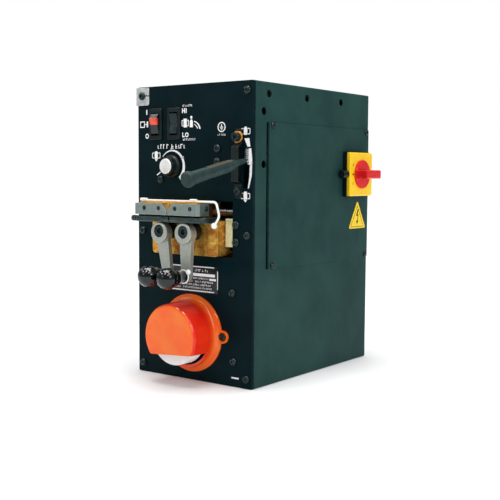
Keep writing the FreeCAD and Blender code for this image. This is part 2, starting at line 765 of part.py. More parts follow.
def jaw_plate(outline, return_x, chamfer_edge_x, screw_x):
    plate = prism_y(outline, (proud(NOSE_FACE), proud(PLATE_FACE)))
    side = box(return_x, (proud(PLATE_RETURN), proud(PLATE_FACE)), PLATE_Z)
    plate = fused(plate, side)

    def outer_corner(edge):
        bounds = edge.BoundBox
        upright = runs_along(edge, Z_AXIS) and bounds.YMax < proud(PLATE_FACE - 0.1)
        return upright and abs(bounds.XMax - chamfer_edge_x) < 0.1

    plate = bevel_edges(plate, 3.3, outer_corner)
    holes = []
    for x in screw_x:
        holes.append(rod_y(x, PLATE_SCREW_Z, 3.4, (proud(PLATE_FACE + 1), proud(PLATE_FACE - 2.5))))
        holes.append(rod_y(x, PLATE_SCREW_Z, 1.8, (proud(PLATE_FACE + 1), proud(NOSE_FACE - 1))))
    return without(plate, holes)


PLATE_SCREW_Z = 235.0
PLATE_RETURN = 23.5


def fixed_jaw_plate():
    outline = [
        (-6.0, PLATE_Z[0]),
        (FIXED_PLATE_END, PLATE_Z[0]),
        (FIXED_PLATE_END, PLATE_Z[1]),
        (2.4, PLATE_Z[1]),
        (-6.0, 231.8),
    ]
    return jaw_plate(outline, (42.0, FIXED_PLATE_END), FIXED_PLATE_END, FIXED_PLATE_SCREWS)


def moving_jaw_plate():
    outline = [
        (MOVING_PLATE_END, PLATE_Z[0]),
        (-7.6, PLATE_Z[0]),
        (-7.6, 230.8),
        (-17.2, PLATE_Z[1]),
        (MOVING_PLATE_END, PLATE_Z[1]),
    ]
    return jaw_plate(outline, (MOVING_PLATE_END, -62.0), MOVING_PLATE_END, MOVING_PLATE_SCREWS)


def plate_screws(screw_x, side_x, side_direction):
    screws = []
    for x in screw_x:
        base = vec(x, proud(PLATE_FACE - 2.5), PLATE_SCREW_Z)
        screws.append(cap_screw(base, -Y_AXIS, 3.2, 2.3, 1.7, 3.0))
    side = vec(side_x, proud(SIDE_SCREW_BACK), PLATE_SCREW_Z)
    screws.append(cap_screw(side, side_direction, 3.2, 1.6, 1.7, 0.0))
    return screws


BAR_Z = (216.6, 224.1)
BAR_FACES = (15.4, 43.0)


def clamp_bar(x_range, notch_x):
    y_range = (proud(BAR_FACES[0]), proud(BAR_FACES[1]))
    bar = box(x_range, y_range, BAR_Z)
    bar = bevel_edges(bar, 1.2, lambda e: e.BoundBox.YMax < proud(BAR_FACES[1] - 0.1))
    notch = box(notch_x, (proud(BAR_FACES[1] - 3), proud(50)), (BAR_Z[0] - 1, BAR_Z[0] + 2.5))
    return bar.cut(notch)


def stub_screw():
    y = proud(36.0)
    z = sum(BAR_Z) / 2
    start = vec(-64.9, y, z)
    profile = [(0, 0), (2.2, 0), (2.2, 3), (3.2, 3), (3.2, 3.6), (3.9, 4.2), (3.9, 11.4), (3.3, 12), (0, 12)]
    body = turned(profile, start, -X_AXIS)
    grooves = []
    for i in range(16):
        angle = math.radians(22.5 * i)
        groove_y = y + 4.0 * math.cos(angle)
        groove_z = z + 4.0 * math.sin(angle)
        grooves.append(rod_x(groove_y, groove_z, 0.4, (-77.5, -69.6)))
    return without(body, grooves)


def clamp_shaft(x):
    """Eccentric shaft: a drum under the clamp bar and a journal through the brass block."""
    journal = rod_y(x, CLAMP_Z, CLAMP_SHAFT_R, (proud(JAW_FACE), behind(JAW_DEPTH + 3)))
    drum = rod_y(x, CLAMP_Z, DRUM_R, (proud(JAW_FACE + GAP), proud(ARM_BACK - 0.1)))
    collar = rod_y(x, CLAMP_Z, 11.0, (behind(JAW_DEPTH + 3), behind(JAW_DEPTH + 6)))
    neck = rod_y(x, CLAMP_Z, CLAMP_SHAFT_R, (proud(JAW_FACE), proud(JAW_FACE + 1)))
    bore = rod_y(x, CLAMP_Z, 3.0, (proud(12), proud(30)))
    return fused(journal, neck, drum, collar).cut(bore)


def clamp_arm(x, tilt):
    boss = turned(
        [(0, 0), (CLAMP_BOSS_R, 0), (CLAMP_BOSS_R, 11.0), (CLAMP_BOSS_R - 1, 12.0), (0, 12.0)],
        vec(x - 0.5, proud(ARM_BACK), CLAMP_Z - CLAMP_BOSS_DROP),
        -Y_AXIS,
    )
    tip = CLAMP_Z - ARM_LENGTH
    outline = [(x - 10.2, CLAMP_Z - 6), (x - 7.0, tip), (x + 7.0, tip), (x + 10.2, CLAMP_Z - 6)]
    blade = prism_y(outline, (proud(ARM_BACK), proud(ARM_FACE)))
    end = rod_y(x, tip, 7.0, (proud(ARM_BACK), proud(ARM_FACE)))
    arm = fused(boss, blade, end)
    recess = rod_y(x, CLAMP_Z, 8.6, (proud(ARM_FACE - 1.5), proud(ARM_BOSS_FACE + 1)))
    bore = rod_y(x, CLAMP_Z, 3.1, (proud(ARM_BACK - 1), proud(ARM_BOSS_FACE + 1)))
    stud = rod_y(x, tip, 3.0, (proud(ARM_BACK - 1), proud(ARM_FACE + 1)))
    arm = without(arm, [recess, bore, stud])
    return turned_about(arm, vec(x, 0, CLAMP_Z), Y_AXIS, -tilt)


def clamp_screw(x):
    base = vec(x, proud(ARM_FACE - 1.5), CLAMP_Z)
    return cap_screw(base, -Y_AXIS, 8.3, 6.0, 2.9, 18.0)


KNOB_PROFILE = [
    (0.0, -8.4),
    (2.9, -8.4),
    (2.9, 0.1),
    (7.2, 0.1),
    (6.6, 4.0),
    (6.9, 9.0),
    (8.4, 15.0),
    (10.8, 21.0),
]
KNOB_BALL_R = 14.2
KNOB_BALL_AT = 35.5


def clamp_knob(x, tilt):
    """Pear-shaped knob on the arm's free end, its axis pointing forwards."""
    tip = CLAMP_Z - ARM_LENGTH
    ball = []
    for i in range(15):
        angle = math.radians(-42 + 132 * i / 14)
        ball.append((KNOB_BALL_R * math.cos(angle), KNOB_BALL_AT + KNOB_BALL_R * math.sin(angle)))
    ball[-1] = (0.0, KNOB_BALL_AT + KNOB_BALL_R)
    knob = turned(KNOB_PROFILE + ball, vec(x, proud(ARM_FACE), tip), -Y_AXIS)
    return turned_about(knob, vec(x, 0, CLAMP_Z), Y_AXIS, -tilt)


TIE_R = 0.85
TIE_LOOP_R = 8.7
TIE_BEAD_R = 3.4


def knob_tie(x):
    """Loose loop of a plastic tie round the knob's neck, with its bead and one loose end."""
    centre = vec(x, proud(ARM_FACE + 4.0), CLAMP_Z - ARM_LENGTH)
    loop = Part.makeTorus(TIE_LOOP_R, TIE_R, centre, Y_AXIS)
    angle = math.radians(37)
    reach = TIE_LOOP_R + 2.1
    bead_at = centre + vec(reach * math.cos(angle), 0, reach * math.sin(angle))
    bead = Part.makeSphere(TIE_BEAD_R, bead_at)
    end_at = centre + vec(-13.0, 0, 9.6)
    end = Part.makeCylinder(TIE_R, (bead_at - end_at).Length, end_at, bead_at - end_at)
    return fused(loop, bead, end)


WIRE_R = 1.5
WIRE_Y = proud(29.0)
BEAD_R = 4.0


def jaw_wire():
    """White sleeved wire lying along the jaw tops, bent down at the right end to a round bead."""
    top = JAW_Z[1] + WIRE_R + 0.35
    bead_at = vec(60.5, WIRE_Y, 214.0)
    corners = [vec(-66.0, WIRE_Y, top), vec(63.6, WIRE_Y, top), vec(69.4, WIRE_Y, 226.0), bead_at]
    wire = bent_tube(corners, (6.0, 10.0), WIRE_R)
    clips = []
    for x in (-62.5, 25.7):
        clip = box((x - 4.5, x + 4.5), (WIRE_Y - 3.2, WIRE_Y + 3.2), (top - 0.5, top + 3.2))
        clips.append(bevel_edges(clip, 1.0, lambda e: e.BoundBox.ZMin > top + 3.1))
    bead = Part.makeSphere(BEAD_R, bead_at, corners[2] - bead_at)
    return fused(wire, bead, *clips)


def jaw_insulator():
    visible = box((FIXED_END_X + 0.9, WINDOW_X[1] - 0.4), (proud(0.5), behind(JAW_DEPTH)), (185.0, 222.0))
    visible = bevel_edges(visible, 0.8, lambda e: e.BoundBox.YMax < proud(0.4))
    body = box((WINDOW_X[1] - 0.4, 83.0), (behind(PANEL_T + 0.1), behind(JAW_DEPTH)), (176.0, 241.0))
    grooves = [box((50, 70), (proud(2), proud(-1.2)), (z, z + 0.9)) for z in (218.6, 215.6)]
    rods = [rod_x(behind(ROD_BACK), z, ROD_R, (50, 75)) for z in ROD_Z]
    screws = [rod_y(x, z, 2.6, (behind(0), behind(9))) for x, z in BRACKET_SCREWS[3:5]]
    return without(fused(visible, body), grooves + rods + screws)


def rod_bracket():
    body = box((-96.0, -82.0), (behind(PANEL_T + SHEET_T + 0.1), behind(JAW_DEPTH)), (176.0, 241.0))
    rods = [rod_x(behind(ROD_BACK), z, ROD_R, (-92, -80)) for z in ROD_Z]
    screw = rod_y(-91.5, 201.0, 2.6, (behind(5), behind(12)))
    return without(body, rods + [screw])


def slide_rods():
    return [rod_x(behind(ROD_BACK), z, ROD_R - 0.01, (-91.5, 74.5)) for z in ROD_Z]


# ---- grinder ----
def guard():
    base = vec(WHEEL_X, proud(0.1), WHEEL_Z)
    outer = [
        (0, 0),
        (GUARD_R, 0),
        (GUARD_R, 1.8),
        (GUARD_R - 0.8, 2.8),
        (49.5, 3.3),
        (47.2, 4.6),
        (45.6, 7.0),
        (44.9, 11.0),
        (43.9, 42.0),
        (43.2, 44.8),
        (41.6, 46.8),
        (39.2, 47.8),
        (0, 47.8),
    ]
    inner = [(0, -1), (41.9, -1), (41.8, 14.0), (41.2, 43.0), (39.6, 45.2), (0, 45.2)]
    cup = turned(outer, base, -Y_AXIS)
    ears = []
    for side in (-1, 1):
        ear = rod_y(WHEEL_X + side * 55.5, WHEEL_Z, 8.6, (proud(0.1), proud(2.9)))
        web_x = (WHEEL_X + side * 40, WHEEL_X + side * 56)
        web = box(web_x, (proud(0.1), proud(2.9)), (WHEEL_Z - 8.6, WHEEL_Z + 8.6))
        ears.append(fused(ear, web))
    whole = fused(cup, *ears)
    below = (WHEEL_Z - 60, GUARD_CUT_Z)
    cut = box((WHEEL_X - 60, WHEEL_X + 60), (proud(14), proud(60)), below)
    cut = turned_about(cut, vec(WHEEL_X, 0, GUARD_CUT_Z), Y_AXIS, -GUARD_CUT_TILT)
    holes = [rod_y(x, z, 2.7, (proud(-1), proud(4))) for x, z in guard_screw_points()]
    holes += [rod_y(x, z, 6.3, (proud(EAR_SEAT), proud(4))) for x, z in guard_screw_points()]
    return without(whole, [turned(inner, base, -Y_AXIS), cut] + holes)


def guard_screw_points():
    return [(WHEEL_X - 55.5, WHEEL_Z), (WHEEL_X + 55.5, WHEEL_Z)]


def grinding_wheel():
    width = WHEEL_FACES[1] - WHEEL_FACES[0]
    profile = [
        (4.1, 0),
        (WHEEL_R - 0.8, 0),
        (WHEEL_R, 0.8),
        (WHEEL_R, width - 0.8),
        (WHEEL_R - 0.8, width),
        (4.1, width),
    ]
    return turned(profile, vec(WHEEL_X, proud(WHEEL_FACES[0]), WHEEL_Z), -Y_AXIS)


def grinder_shaft():
    shaft = rod_y(WHEEL_X, WHEEL_Z, 4.0, (proud(43.5), behind(20)))
    shoulder = rod_y(WHEEL_X, WHEEL_Z, 11.0, (proud(WHEEL_FACES[0]), proud(WHEEL_FACES[0] - 3)))
    rotor = rod_y(WHEEL_X, WHEEL_Z, 22.0, (behind(34), behind(96)))
    spine = rod_y(WHEEL_X, WHEEL_Z, 5.95, (behind(8), behind(120)))
    return fused(shaft, shoulder, rotor, spine)


def wheel_nut():
    seat = vec(WHEEL_X, proud(WHEEL_FACES[1]), WHEEL_Z)
    washer = turned([(4.05, 0), (12, 0), (12, 1.2), (4.05, 1.2)], seat, -Y_AXIS)
    nut = hexagon(13, 4, vec(WHEEL_X, proud(WHEEL_FACES[1] + 1.2), WHEEL_Z), -Y_AXIS)
    nut = nut.cut(rod_y(WHEEL_X, WHEEL_Z, 4.05, (proud(36), proud(46))))
    return fused(washer, nut)


def grinder_motor():
    base = vec(WHEEL_X, behind(12), WHEEL_Z)
    outline = [(0, 0), (14, 0), (40, 8), (44, 12), (44, 96), (38, 102), (14, 108), (0, 108)]
    can = turned(outline, base, Y_AXIS)
    fins = []
    for i in range(9):
        y = 26.0 + i * 8
        fins.append(turned([(40, y), (45.5, y), (45.5, y + 3), (40, y + 3)], base, Y_AXIS))
    can = fused(can, *fins)
    plate = box((-70.0, 78.0), (behind(PANEL_T + 0.1), behind(PANEL_T + 3.1)), (22.0, 127.0))
    mouth = rod_y(WHEEL_X, WHEEL_Z, 12.0, (behind(2), behind(9)))
    spacers = []
    for dx, dz in ((-34, 0), (34, 0), (0, -34), (0, 34)):
        spacers.append(rod_y(WHEEL_X + dx, WHEEL_Z + dz, 4.0, (behind(PANEL_T + 3), behind(24))))
    cavity = turned([(0, 18), (24, 18), (24, 88), (0, 88)], base, Y_AXIS)
    bore = rod_y(WHEEL_X, WHEEL_Z, 6.0, (behind(2), behind(121)))
    plate_screws_at = BRACKET_SCREWS[5:] + guard_screw_points()
    screws = [rod_y(x, z, 2.6, (behind(3), behind(9))) for x, z in plate_screws_at]
    return without(fused(can, plate, *spacers), [mouth, cavity, bore] + screws)


# ---- welding transformer and wiring gear ----
CORE_X = (-55.0, 55.0)
CORE_Y = (behind(90), behind(180))
CORE_Z = (130.1, 232.0)


def transformer_core():
    core = box(CORE_X, CORE_Y, CORE_Z)
    for x_range in ((-36.0, -18.0), (18.0, 36.0)):
        core = core.cut(box(x_range, (CORE_Y[0] - 1, CORE_Y[1] + 1), (CORE_Z[0] + 19, CORE_Z[1] - 19)))
    feet = [box((side - 6, side + 6), CORE_Y, (CORE_Z[0], CORE_Z[0] + 4)) for side in (-60.0, 60.0)]
    return fused(core, *feet)


def transformer_coil():
    outer = box((-35.5, 35.5), (CORE_Y[0] - 16, CORE_Y[1] + 16), (CORE_Z[0] + 20, CORE_Z[1] - 20))
    outer = round_edges(outer, 12.0, lambda e: runs_along(e, Z_AXIS))
    inner = box((-18.3, 18.3), (CORE_Y[0] - 1, CORE_Y[1] + 1), (CORE_Z[0], CORE_Z[1]))
    return outer.cut(inner)


def secondary_straps():
    """Laminated copper leads from the transformer's coil up to the back of each jaw."""
    straps = []
    for x_range in ((-34.0, -12.0), (4.0, 26.0)):
        layers = []
        for i in range(4):
            low = 178.0 + i * 1.6
            layers.append(box(x_range, (behind(JAW_DEPTH + GAP), behind(73.6)), (low, low + 1.6)))
        toe = box(x_range, (behind(JAW_DEPTH + GAP), behind(JAW_DEPTH + 3)), (174.0, 190.0))
        riser = box(x_range, (behind(68), behind(73.6)), (156.0, 190.0))
        straps.append(fused(toe, riser, *layers))
    return straps


def contactor():
    body = box((-85.0, -40.0), (50.0, 108.0), (130.1, 205.0))
    body = bevel_edges(body, 2.0, lambda e: e.BoundBox.ZMin > 204)
    step = box((-80.0, -45.0), (58.0, 100.0), (205.0, 222.0))
    return fused(body, step)


keep("cabinet_shell", cabinet_shell())
keep("front_panel", front_panel())
keep("panel_screws", *panel_screws())
keep("corner_clip", corner_clip())
keep("nameplate", nameplate())
keep("side_cover", side_cover())
keep("rear_cover", rear_cover())
keep("cover_screws", *cover_screws())
keep("cable_gland", cable_gland())
keep("hazard_label", hazard_label())
keep("isolator_body", isolator_body())
keep("isolator_plate", isolator_plate())
keep("isolator_knob", isolator_knob())
keep("grinder_switch", switch_housing(GRINDER_SWITCH_X))
keep("grinder_paddle", pivoted_key(GRINDER_SWITCH_X, PADDLE_OUTLINE))
keep("heat_switch", switch_housing(HEAT_SWITCH_X))
keep("heat_rocker", pivoted_key(HEAT_SWITCH_X, ROCKER_OUTLINE))
keep("force_knob", force_knob())
keep("force_knob_cap", force_knob_cap())
keep("force_cam_shaft", force_cam_shaft())
keep("weld_lever_shaft", weld_lever_shaft())
keep("weld_lever_grip", weld_lever_grip())
keep("crank", crank())
keep("weld_spring", weld_spring())
keep("lever_bracket", lever_bracket())
keep("lever_strap", lever_strap())
keep("strap_washer", strap_washer())
keep("strap_screws", *strap_screws())
keep("limit_switch", limit_switch())
keep("fixed_jaw_block", fixed_jaw_block())
keep("moving_jaw_block", moving_jaw_block())
keep("fixed_jaw_plate", fixed_jaw_plate())
keep("moving_jaw_plate", moving_jaw_plate())
keep("fixed_plate_screws", *plate_screws(FIXED_PLATE_SCREWS, FIXED_PLATE_END, X_AXIS))
keep("moving_plate_screws", *plate_screws(MOVING_PLATE_SCREWS, MOVING_PLATE_END, -X_AXIS))
keep("fixed_clamp_bar", clamp_bar((-5.4, 55.0), (-6.0, 6.0)))
keep("moving_clamp_bar", clamp_bar((-64.8, -7.8), (-18.0, -7.0)))
keep("stub_screw", stub_screw())
CLAMPS = [("fixed", CLAMP_X_FIXED, 0.0), ("moving", CLAMP_X_MOVING, ARM_TILT_MOVING)]
for side_name, side_x, side_tilt in CLAMPS:
    keep(side_name + "_clamp_shaft", clamp_shaft(side_x))
    keep(side_name + "_clamp_arm", clamp_arm(side_x, side_tilt))
    keep(side_name + "_clamp_screw", clamp_screw(side_x))
    keep(side_name + "_clamp_knob", clamp_knob(side_x, side_tilt))
keep("knob_tie", knob_tie(CLAMP_X_FIXED))
keep("jaw_wire", jaw_wire())
keep("jaw_insulator", jaw_insulator())
keep("rod_bracket", rod_bracket())
keep("slide_rods", *slide_rods())
keep("guard", guard())
keep("grinding_wheel", grinding_wheel())
keep("grinder_shaft", grinder_shaft())
keep("wheel_nut", wheel_nut())
keep("grinder_motor", grinder_motor())
keep("transformer_core", transformer_core())
keep("transformer_coil", transformer_coil())
keep("secondary_straps", *secondary_straps())
keep("contactor", contactor())

for name, shape in PARTS.items():
    if not shape.isValid():
        print("not valid:", name)
    shape.exportStep("parts/" + name + ".step")
print(len(PARTS), "nodes written")
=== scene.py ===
"""Finishes, printed markings, studio and camera for a packed saw blade butt welder.

Metres. +Z is up, the front panel faces -Y, the origin is the centre of the cabinet's base.
Sizes written in millimetres are multiplied by MM.
"""
import json
import math
import random

import bpy
from mathutils import Matrix, Vector


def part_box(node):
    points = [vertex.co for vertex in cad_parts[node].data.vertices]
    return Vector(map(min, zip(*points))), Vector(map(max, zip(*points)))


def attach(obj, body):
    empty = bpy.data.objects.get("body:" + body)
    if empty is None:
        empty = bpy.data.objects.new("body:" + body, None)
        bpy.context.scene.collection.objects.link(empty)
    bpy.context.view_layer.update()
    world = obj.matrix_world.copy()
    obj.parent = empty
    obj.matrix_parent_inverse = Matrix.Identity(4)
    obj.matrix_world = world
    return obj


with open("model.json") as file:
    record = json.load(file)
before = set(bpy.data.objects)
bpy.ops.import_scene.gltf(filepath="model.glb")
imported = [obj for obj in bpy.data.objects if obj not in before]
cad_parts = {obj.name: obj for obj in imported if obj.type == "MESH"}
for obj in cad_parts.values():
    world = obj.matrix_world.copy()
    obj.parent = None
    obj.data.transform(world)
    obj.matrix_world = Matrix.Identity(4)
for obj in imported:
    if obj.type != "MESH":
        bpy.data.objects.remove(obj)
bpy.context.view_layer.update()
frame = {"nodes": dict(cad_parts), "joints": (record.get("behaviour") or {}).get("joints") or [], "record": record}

MM = 0.001
PANEL_FACE_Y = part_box("front_panel")[0].y
LABEL_FACE_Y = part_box("nameplate")[0].y
ISOLATOR_FACE_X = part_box("isolator_plate")[1].x
HAZARD_FACE_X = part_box("hazard_label")[1].x
PRINT_LIFT = 0.03 * MM
PRINT_THICK = 0.06 * MM
ARC_STEPS = 40

# rounds on the CAD nodes' edges
WELD_GAP = 0.002 * MM
FLAT_ANGLE = math.radians(0.4)
ROUND_ANGLE = math.radians(28.0)
ROUND_SEGMENTS = 2
NORMAL_WEIGHT = 60

# the fixed jaw block's step beside its nose, painted near black as shade
STEP_SHADE_X = (41.0 * MM, 61.0 * MM)
STEP_SHADE_Z = 218.6 * MM
STEP_SHADE_FADE_X = 1.0 * MM
STEP_SHADE_FADE_Z = 0.6 * MM

# the pad on top of the weld lever's grip, measured from the lever's pivot
GRIP_TILT = math.radians(12)
PAD_HEIGHT = (5.9 * MM, 6.3 * MM)
PAD_END = (141.5 * MM, 140.0 * MM)

# the signal band on the grinder switch's paddle, measured from its middle and from the panel
BAND_FOOT = (-1.4 * MM, -1.1 * MM)
BAND_TOP = (8.0 * MM, 7.7 * MM)
BAND_DEPTH = (3.2 * MM, 3.5 * MM)

# the guard's side wall, painted a darker red as shade, measured out from the panel
WALL_START = (4 * MM, 15 * MM)
WALL_END = (47.2 * MM, 45.6 * MM)

# studio, in metres and watts: place, size and power of each light
AIM = (0, 0, 0.2)
SOFT_BOXES = {
    "front_left_box": ((-0.55, -1.7, 1.35), (0.9, 0.14), 4.0),
    "front_left_strip": ((-0.75, -1.8, 0.95), (0.9, 0.08), 1.8),
    "right_box": ((2.2, -0.5, 1.2), (1.2, 1.2), 14),
}
SHINE_AIM = (0, -0.2, 0.15)
SHINE_SIZE = (3.0, 0.05)
SHINES = {
    "shine_front": ((0.05, -0.66, 0.78), 8),
    "shine_top": ((0.0, -0.3, 0.92), 7),
}
SUN_STRENGTH = 3.0
SUN_ANGLE = math.radians(35)
SKY_STRENGTH = 0.3
FLOOR_REACH = 6.0

CAMERA_PLACE = (0.8083, -1.09155, 0.28121)
CAMERA_LENS = 66.39
CAMERA_SENSOR = 36.0
CAMERA_REACH = 50.0
CAMERA_YAW = math.radians(36.956)
CAMERA_PITCH = math.radians(4.738)
CAMERA_ROLL = math.radians(0.327)


def middle(node):
    low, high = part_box(node)
    return (low + high) / 2


def colour(red, green, blue):
    """Linear colour from display values of 0 to 255."""
    def linear(value):
        share = value / 255
        return share / 12.92 if share <= 0.04045 else ((share + 0.055) / 1.055) ** 2.4

    return (linear(red), linear(green), linear(blue), 1.0)


# ---- shapes of the CAD nodes: softened edges ----
def soften(names, width_mm):
    """Small rounds on a node's sharp edges, made by modifiers over the untouched mesh."""
    for name in names:
        node = frame["nodes"][name]
        weld = node.modifiers.new("weld", "WELD")
        weld.merge_threshold = WELD_GAP
        flat = node.modifiers.new("flat faces", "DECIMATE")
        flat.decimate_type = "DISSOLVE"
        flat.angle_limit = FLAT_ANGLE
        round_off = node.modifiers.new("edge rounds", "BEVEL")
        round_off.limit_method = "ANGLE"
        round_off.angle_limit = ROUND_ANGLE
        round_off.width = width_mm * MM
        round_off.segments = ROUND_SEGMENTS
        round_off.use_clamp_overlap = True
        shade = node.modifiers.new("even shading", "WEIGHTED_NORMAL")
        shade.keep_sharp = False
        shade.weight = NORMAL_WEIGHT


# ---- materials ----
class Finish:
    """A node material whose patterns are laid out in the frame's own coordinates."""

    def __init__(self, name):
        self.material = bpy.data.materials.new(name)
        self.material.use_nodes = True
        self.tree = self.material.node_tree
        self.shader = self.tree.nodes["Principled BSDF"]
        self.place = self.add("ShaderNodeTexCoord").outputs["Object"]

    def add(self, kind, **settings):
        node = self.tree.nodes.new(kind)
        for key, value in settings.items():
            setattr(node, key, value)
        return node

    def feed(self, socket, value):
        if isinstance(value, bpy.types.NodeSocket):
            self.tree.links.new(value, socket)
        else:
            socket.default_value = value

    def set(self, **inputs):
        names = {
            "base": "Base Color",
            "rough": "Roughness",
            "metal": "Metallic",
            "specular": "Specular IOR Level",
            "coat": "Coat Weight",
            "coat_rough": "Coat Roughness",
            "normal": "Normal",
            "anisotropic": "Anisotropic",
            "tangent": "Tangent",
        }
        for key, value in inputs.items():
            self.feed(self.shader.inputs[names[key]], value)
        return self

    def stretched(self, stretch):
        if stretch == (1, 1, 1):
            return self.place
        mapping = self.add("ShaderNodeMapping")
        self.feed(mapping.inputs["Vector"], self.place)
        mapping.inputs["Scale"].default_value = stretch
        return mapping.outputs["Vector"]

    def noise(self, size_mm, detail=3.0, rough=0.55, stretch=(1, 1, 1), distortion=0.0):
        node = self.add("ShaderNodeTexNoise")
        self.feed(node.inputs["Vector"], self.stretched(stretch))
        node.inputs["Scale"].default_value = 1 / (size_mm * MM)
        node.inputs["Detail"].default_value = detail
        node.inputs["Roughness"].default_value = rough
        node.inputs["Distortion"].default_value = distortion
        return node.outputs["Fac"]

    def cells(self, size_mm):
        """Distance from the middle of the nearest of many small cells."""
        node = self.add("ShaderNodeTexVoronoi", feature="F1")
        self.feed(node.inputs["Vector"], self.place)
        node.inputs["Scale"].default_value = 1 / (size_mm * MM)
        return node.outputs["Distance"]

    def remap(self, value, low, high, to_low=0.0, to_high=1.0):
        node = self.add("ShaderNodeMapRange", clamp=True)
        self.feed(node.inputs["Value"], value)
        node.inputs["From Min"].default_value = low
        node.inputs["From Max"].default_value = high
        node.inputs["To Min"].default_value = to_low
        node.inputs["To Max"].default_value = to_high
        return node.outputs["Result"]

    def maths(self, operation, first, second=0.0):
        node = self.add("ShaderNodeMath", operation=operation)
        self.feed(node.inputs[0], first)
        self.feed(node.inputs[1], second)
        return node.outputs["Value"]

    def blend(self, share, first, second):
        node = self.add("ShaderNodeMix", data_type="RGBA")
        self.feed(node.inputs["Factor"], share)
        self.feed(node.inputs["A"], first)
        self.feed(node.inputs["B"], second)
        return node.outputs["Result"]

    def along(self, direction, origin=(0, 0, 0)):
        """Distance in metres from the origin along a direction, for bands and zones."""
        shift = self.add("ShaderNodeVectorMath", operation="SUBTRACT")
        self.feed(shift.inputs[0], self.place)
        shift.inputs[1].default_value = origin
        dot = self.add("ShaderNodeVectorMath", operation="DOT_PRODUCT")
        self.feed(dot.inputs[0], shift.outputs["Vector"])
        dot.inputs[1].default_value = direction
        return dot.outputs["Value"]

    def edges(self, radius_mm, sharpness=0.25):
        """Share of wear: 0 on flat faces, up to 1 on corners, from a rounded copy of the normal."""
        rounded = self.add("ShaderNodeBevel", samples=4)
        rounded.inputs["Radius"].default_value = radius_mm * MM
        straight = self.add("ShaderNodeNewGeometry")
        dot = self.add("ShaderNodeVectorMath", operation="DOT_PRODUCT")
        self.feed(dot.inputs[0], rounded.outputs["Normal"])
        self.feed(dot.inputs[1], straight.outputs["Normal"])
        return self.remap(dot.outputs["Value"], 1.0, 1.0 - sharpness)

    def relief(self, height, depth_mm, under=None):
        node = self.add("ShaderNodeBump")
        node.inputs["Strength"].default_value = 1.0
        node.inputs["Distance"].default_value = depth_mm * MM
        self.feed(node.inputs["Height"], height)
        if under is not None:
            self.feed(node.inputs["Normal"], under)
        return node.outputs["Normal"]


def paint(name, base, lighter, worn, rough, specular, texture_mm=0.9, depth_mm=0.012):
    """Sprayed enamel: orange peel, faint clouding, dust specks and rubbed corners."""
    f = Finish(name)
    clouds = f.noise(60, detail=4)
    tone = f.blend(f.remap(clouds, 0.35, 0.7), base, lighter)
    speckle = f.remap(f.noise(0.7, detail=2), 0.62, 0.8, 0.0, 0.35)
    tone = f.blend(speckle, tone, lighter)
    rubbed = f.maths("MULTIPLY", f.edges(0.9), f.remap(f.noise(6), 0.45, 0.62))
    tone = f.blend(rubbed, tone, worn)
    peel = f.relief(f.noise(texture_mm, detail=2, rough=0.4), depth_mm)
    streaks = f.noise(28, detail=5, stretch=(1, 1, 0.4))
    smears = f.remap(streaks, 0.3, 0.75, rough - 0.06, rough + 0.1)
    return f.set(base=tone, rough=smears, normal=peel, specular=specular).material


def moulding(name, base, lighter, rough=0.38, specular=0.4, depth_mm=0.01, coat=0.0, worn=0.5):
    """Moulded plastic: fine grain, faint flow marks, handled corners a little paler."""
    f = Finish(name)
    flow = f.remap(f.noise(14, detail=3, distortion=0.6), 0.35, 0.7, 0.0, 0.6)
    tone = f.blend(flow, base, lighter)
    handled = f.maths("MULTIPLY", f.edges(0.7), worn)
    tone = f.blend(handled, tone, lighter)
    grain = f.relief(f.noise(0.5, detail=2), depth_mm)
    patches = f.remap(f.noise(9, detail=4), 0.3, 0.7, rough - 0.07, rough + 0.07)
    f.set(base=tone, rough=patches, normal=grain, specular=specular)
    return f.set(coat=coat, coat_rough=0.08).material


def metal(name, base, darker, bright, rough=0.3, grain=(1, 1, 1), grain_mm=0.8,
          depth_mm=0.01, edge=0.8, full=1.0):
    """Worked metal: directional grain, dull patches, bright corners."""
    f = Finish(name)
    lines = f.noise(grain_mm, detail=3, stretch=grain)
    patches = f.noise(11, detail=4, rough=0.6)
    tone = f.blend(f.remap(lines, 0.3, 0.7), darker, base)
    tone = f.blend(f.remap(patches, 0.5, 0.8, 0.0, 0.6), tone, darker)
    corner = f.maths("MULTIPLY", f.edges(0.8), edge)
    tone = f.blend(corner, tone, bright)
    normal = f.relief(lines, depth_mm)
    dull = f.remap(patches, 0.3, 0.75, rough - 0.08, rough + 0.15)
    return f.set(base=tone, rough=dull, normal=normal, metal=full).material


# The front panel and the shell are one enamel in two copies, the panel's painted darker and the shell's lighter:
# painted shade on the front, painted light on the sides.
def panel_paint():
    return paint("panel_paint", colour(0, 22, 27), colour(3, 30, 35), rough=0.4, specular=0.05,
                 worn=colour(40, 66, 66))


# painted light: a lighter copy of the front panel's enamel
def shell_paint():
    return paint("shell_paint", colour(28, 60, 58), colour(38, 72, 68), rough=0.5, specular=0.08,
                 texture_mm=1.3, depth_mm=0.03, worn=colour(72, 98, 94))


def zinc_sheet():
    """Zinc plate with faint spangle and water marks."""
    f = Finish("zinc_sheet")
    spangle = f.cells(7)
    marks = f.noise(4, detail=5, rough=0.65)
    tone = f.blend(f.remap(spangle, 0.1, 0.7), colour(196, 198, 196), colour(168, 171, 170))
    tone = f.blend(f.remap(marks, 0.55, 0.75, 0, 0.5), tone, colour(134, 138, 136))
    tone = f.blend(f.edges(0.7), tone, colour(236, 237, 235))
    rough = f.remap(marks, 0.3, 0.7, 0.38, 0.55)
    return f.set(base=tone, rough=rough, metal=0.55, normal=f.relief(marks, 0.02)).material


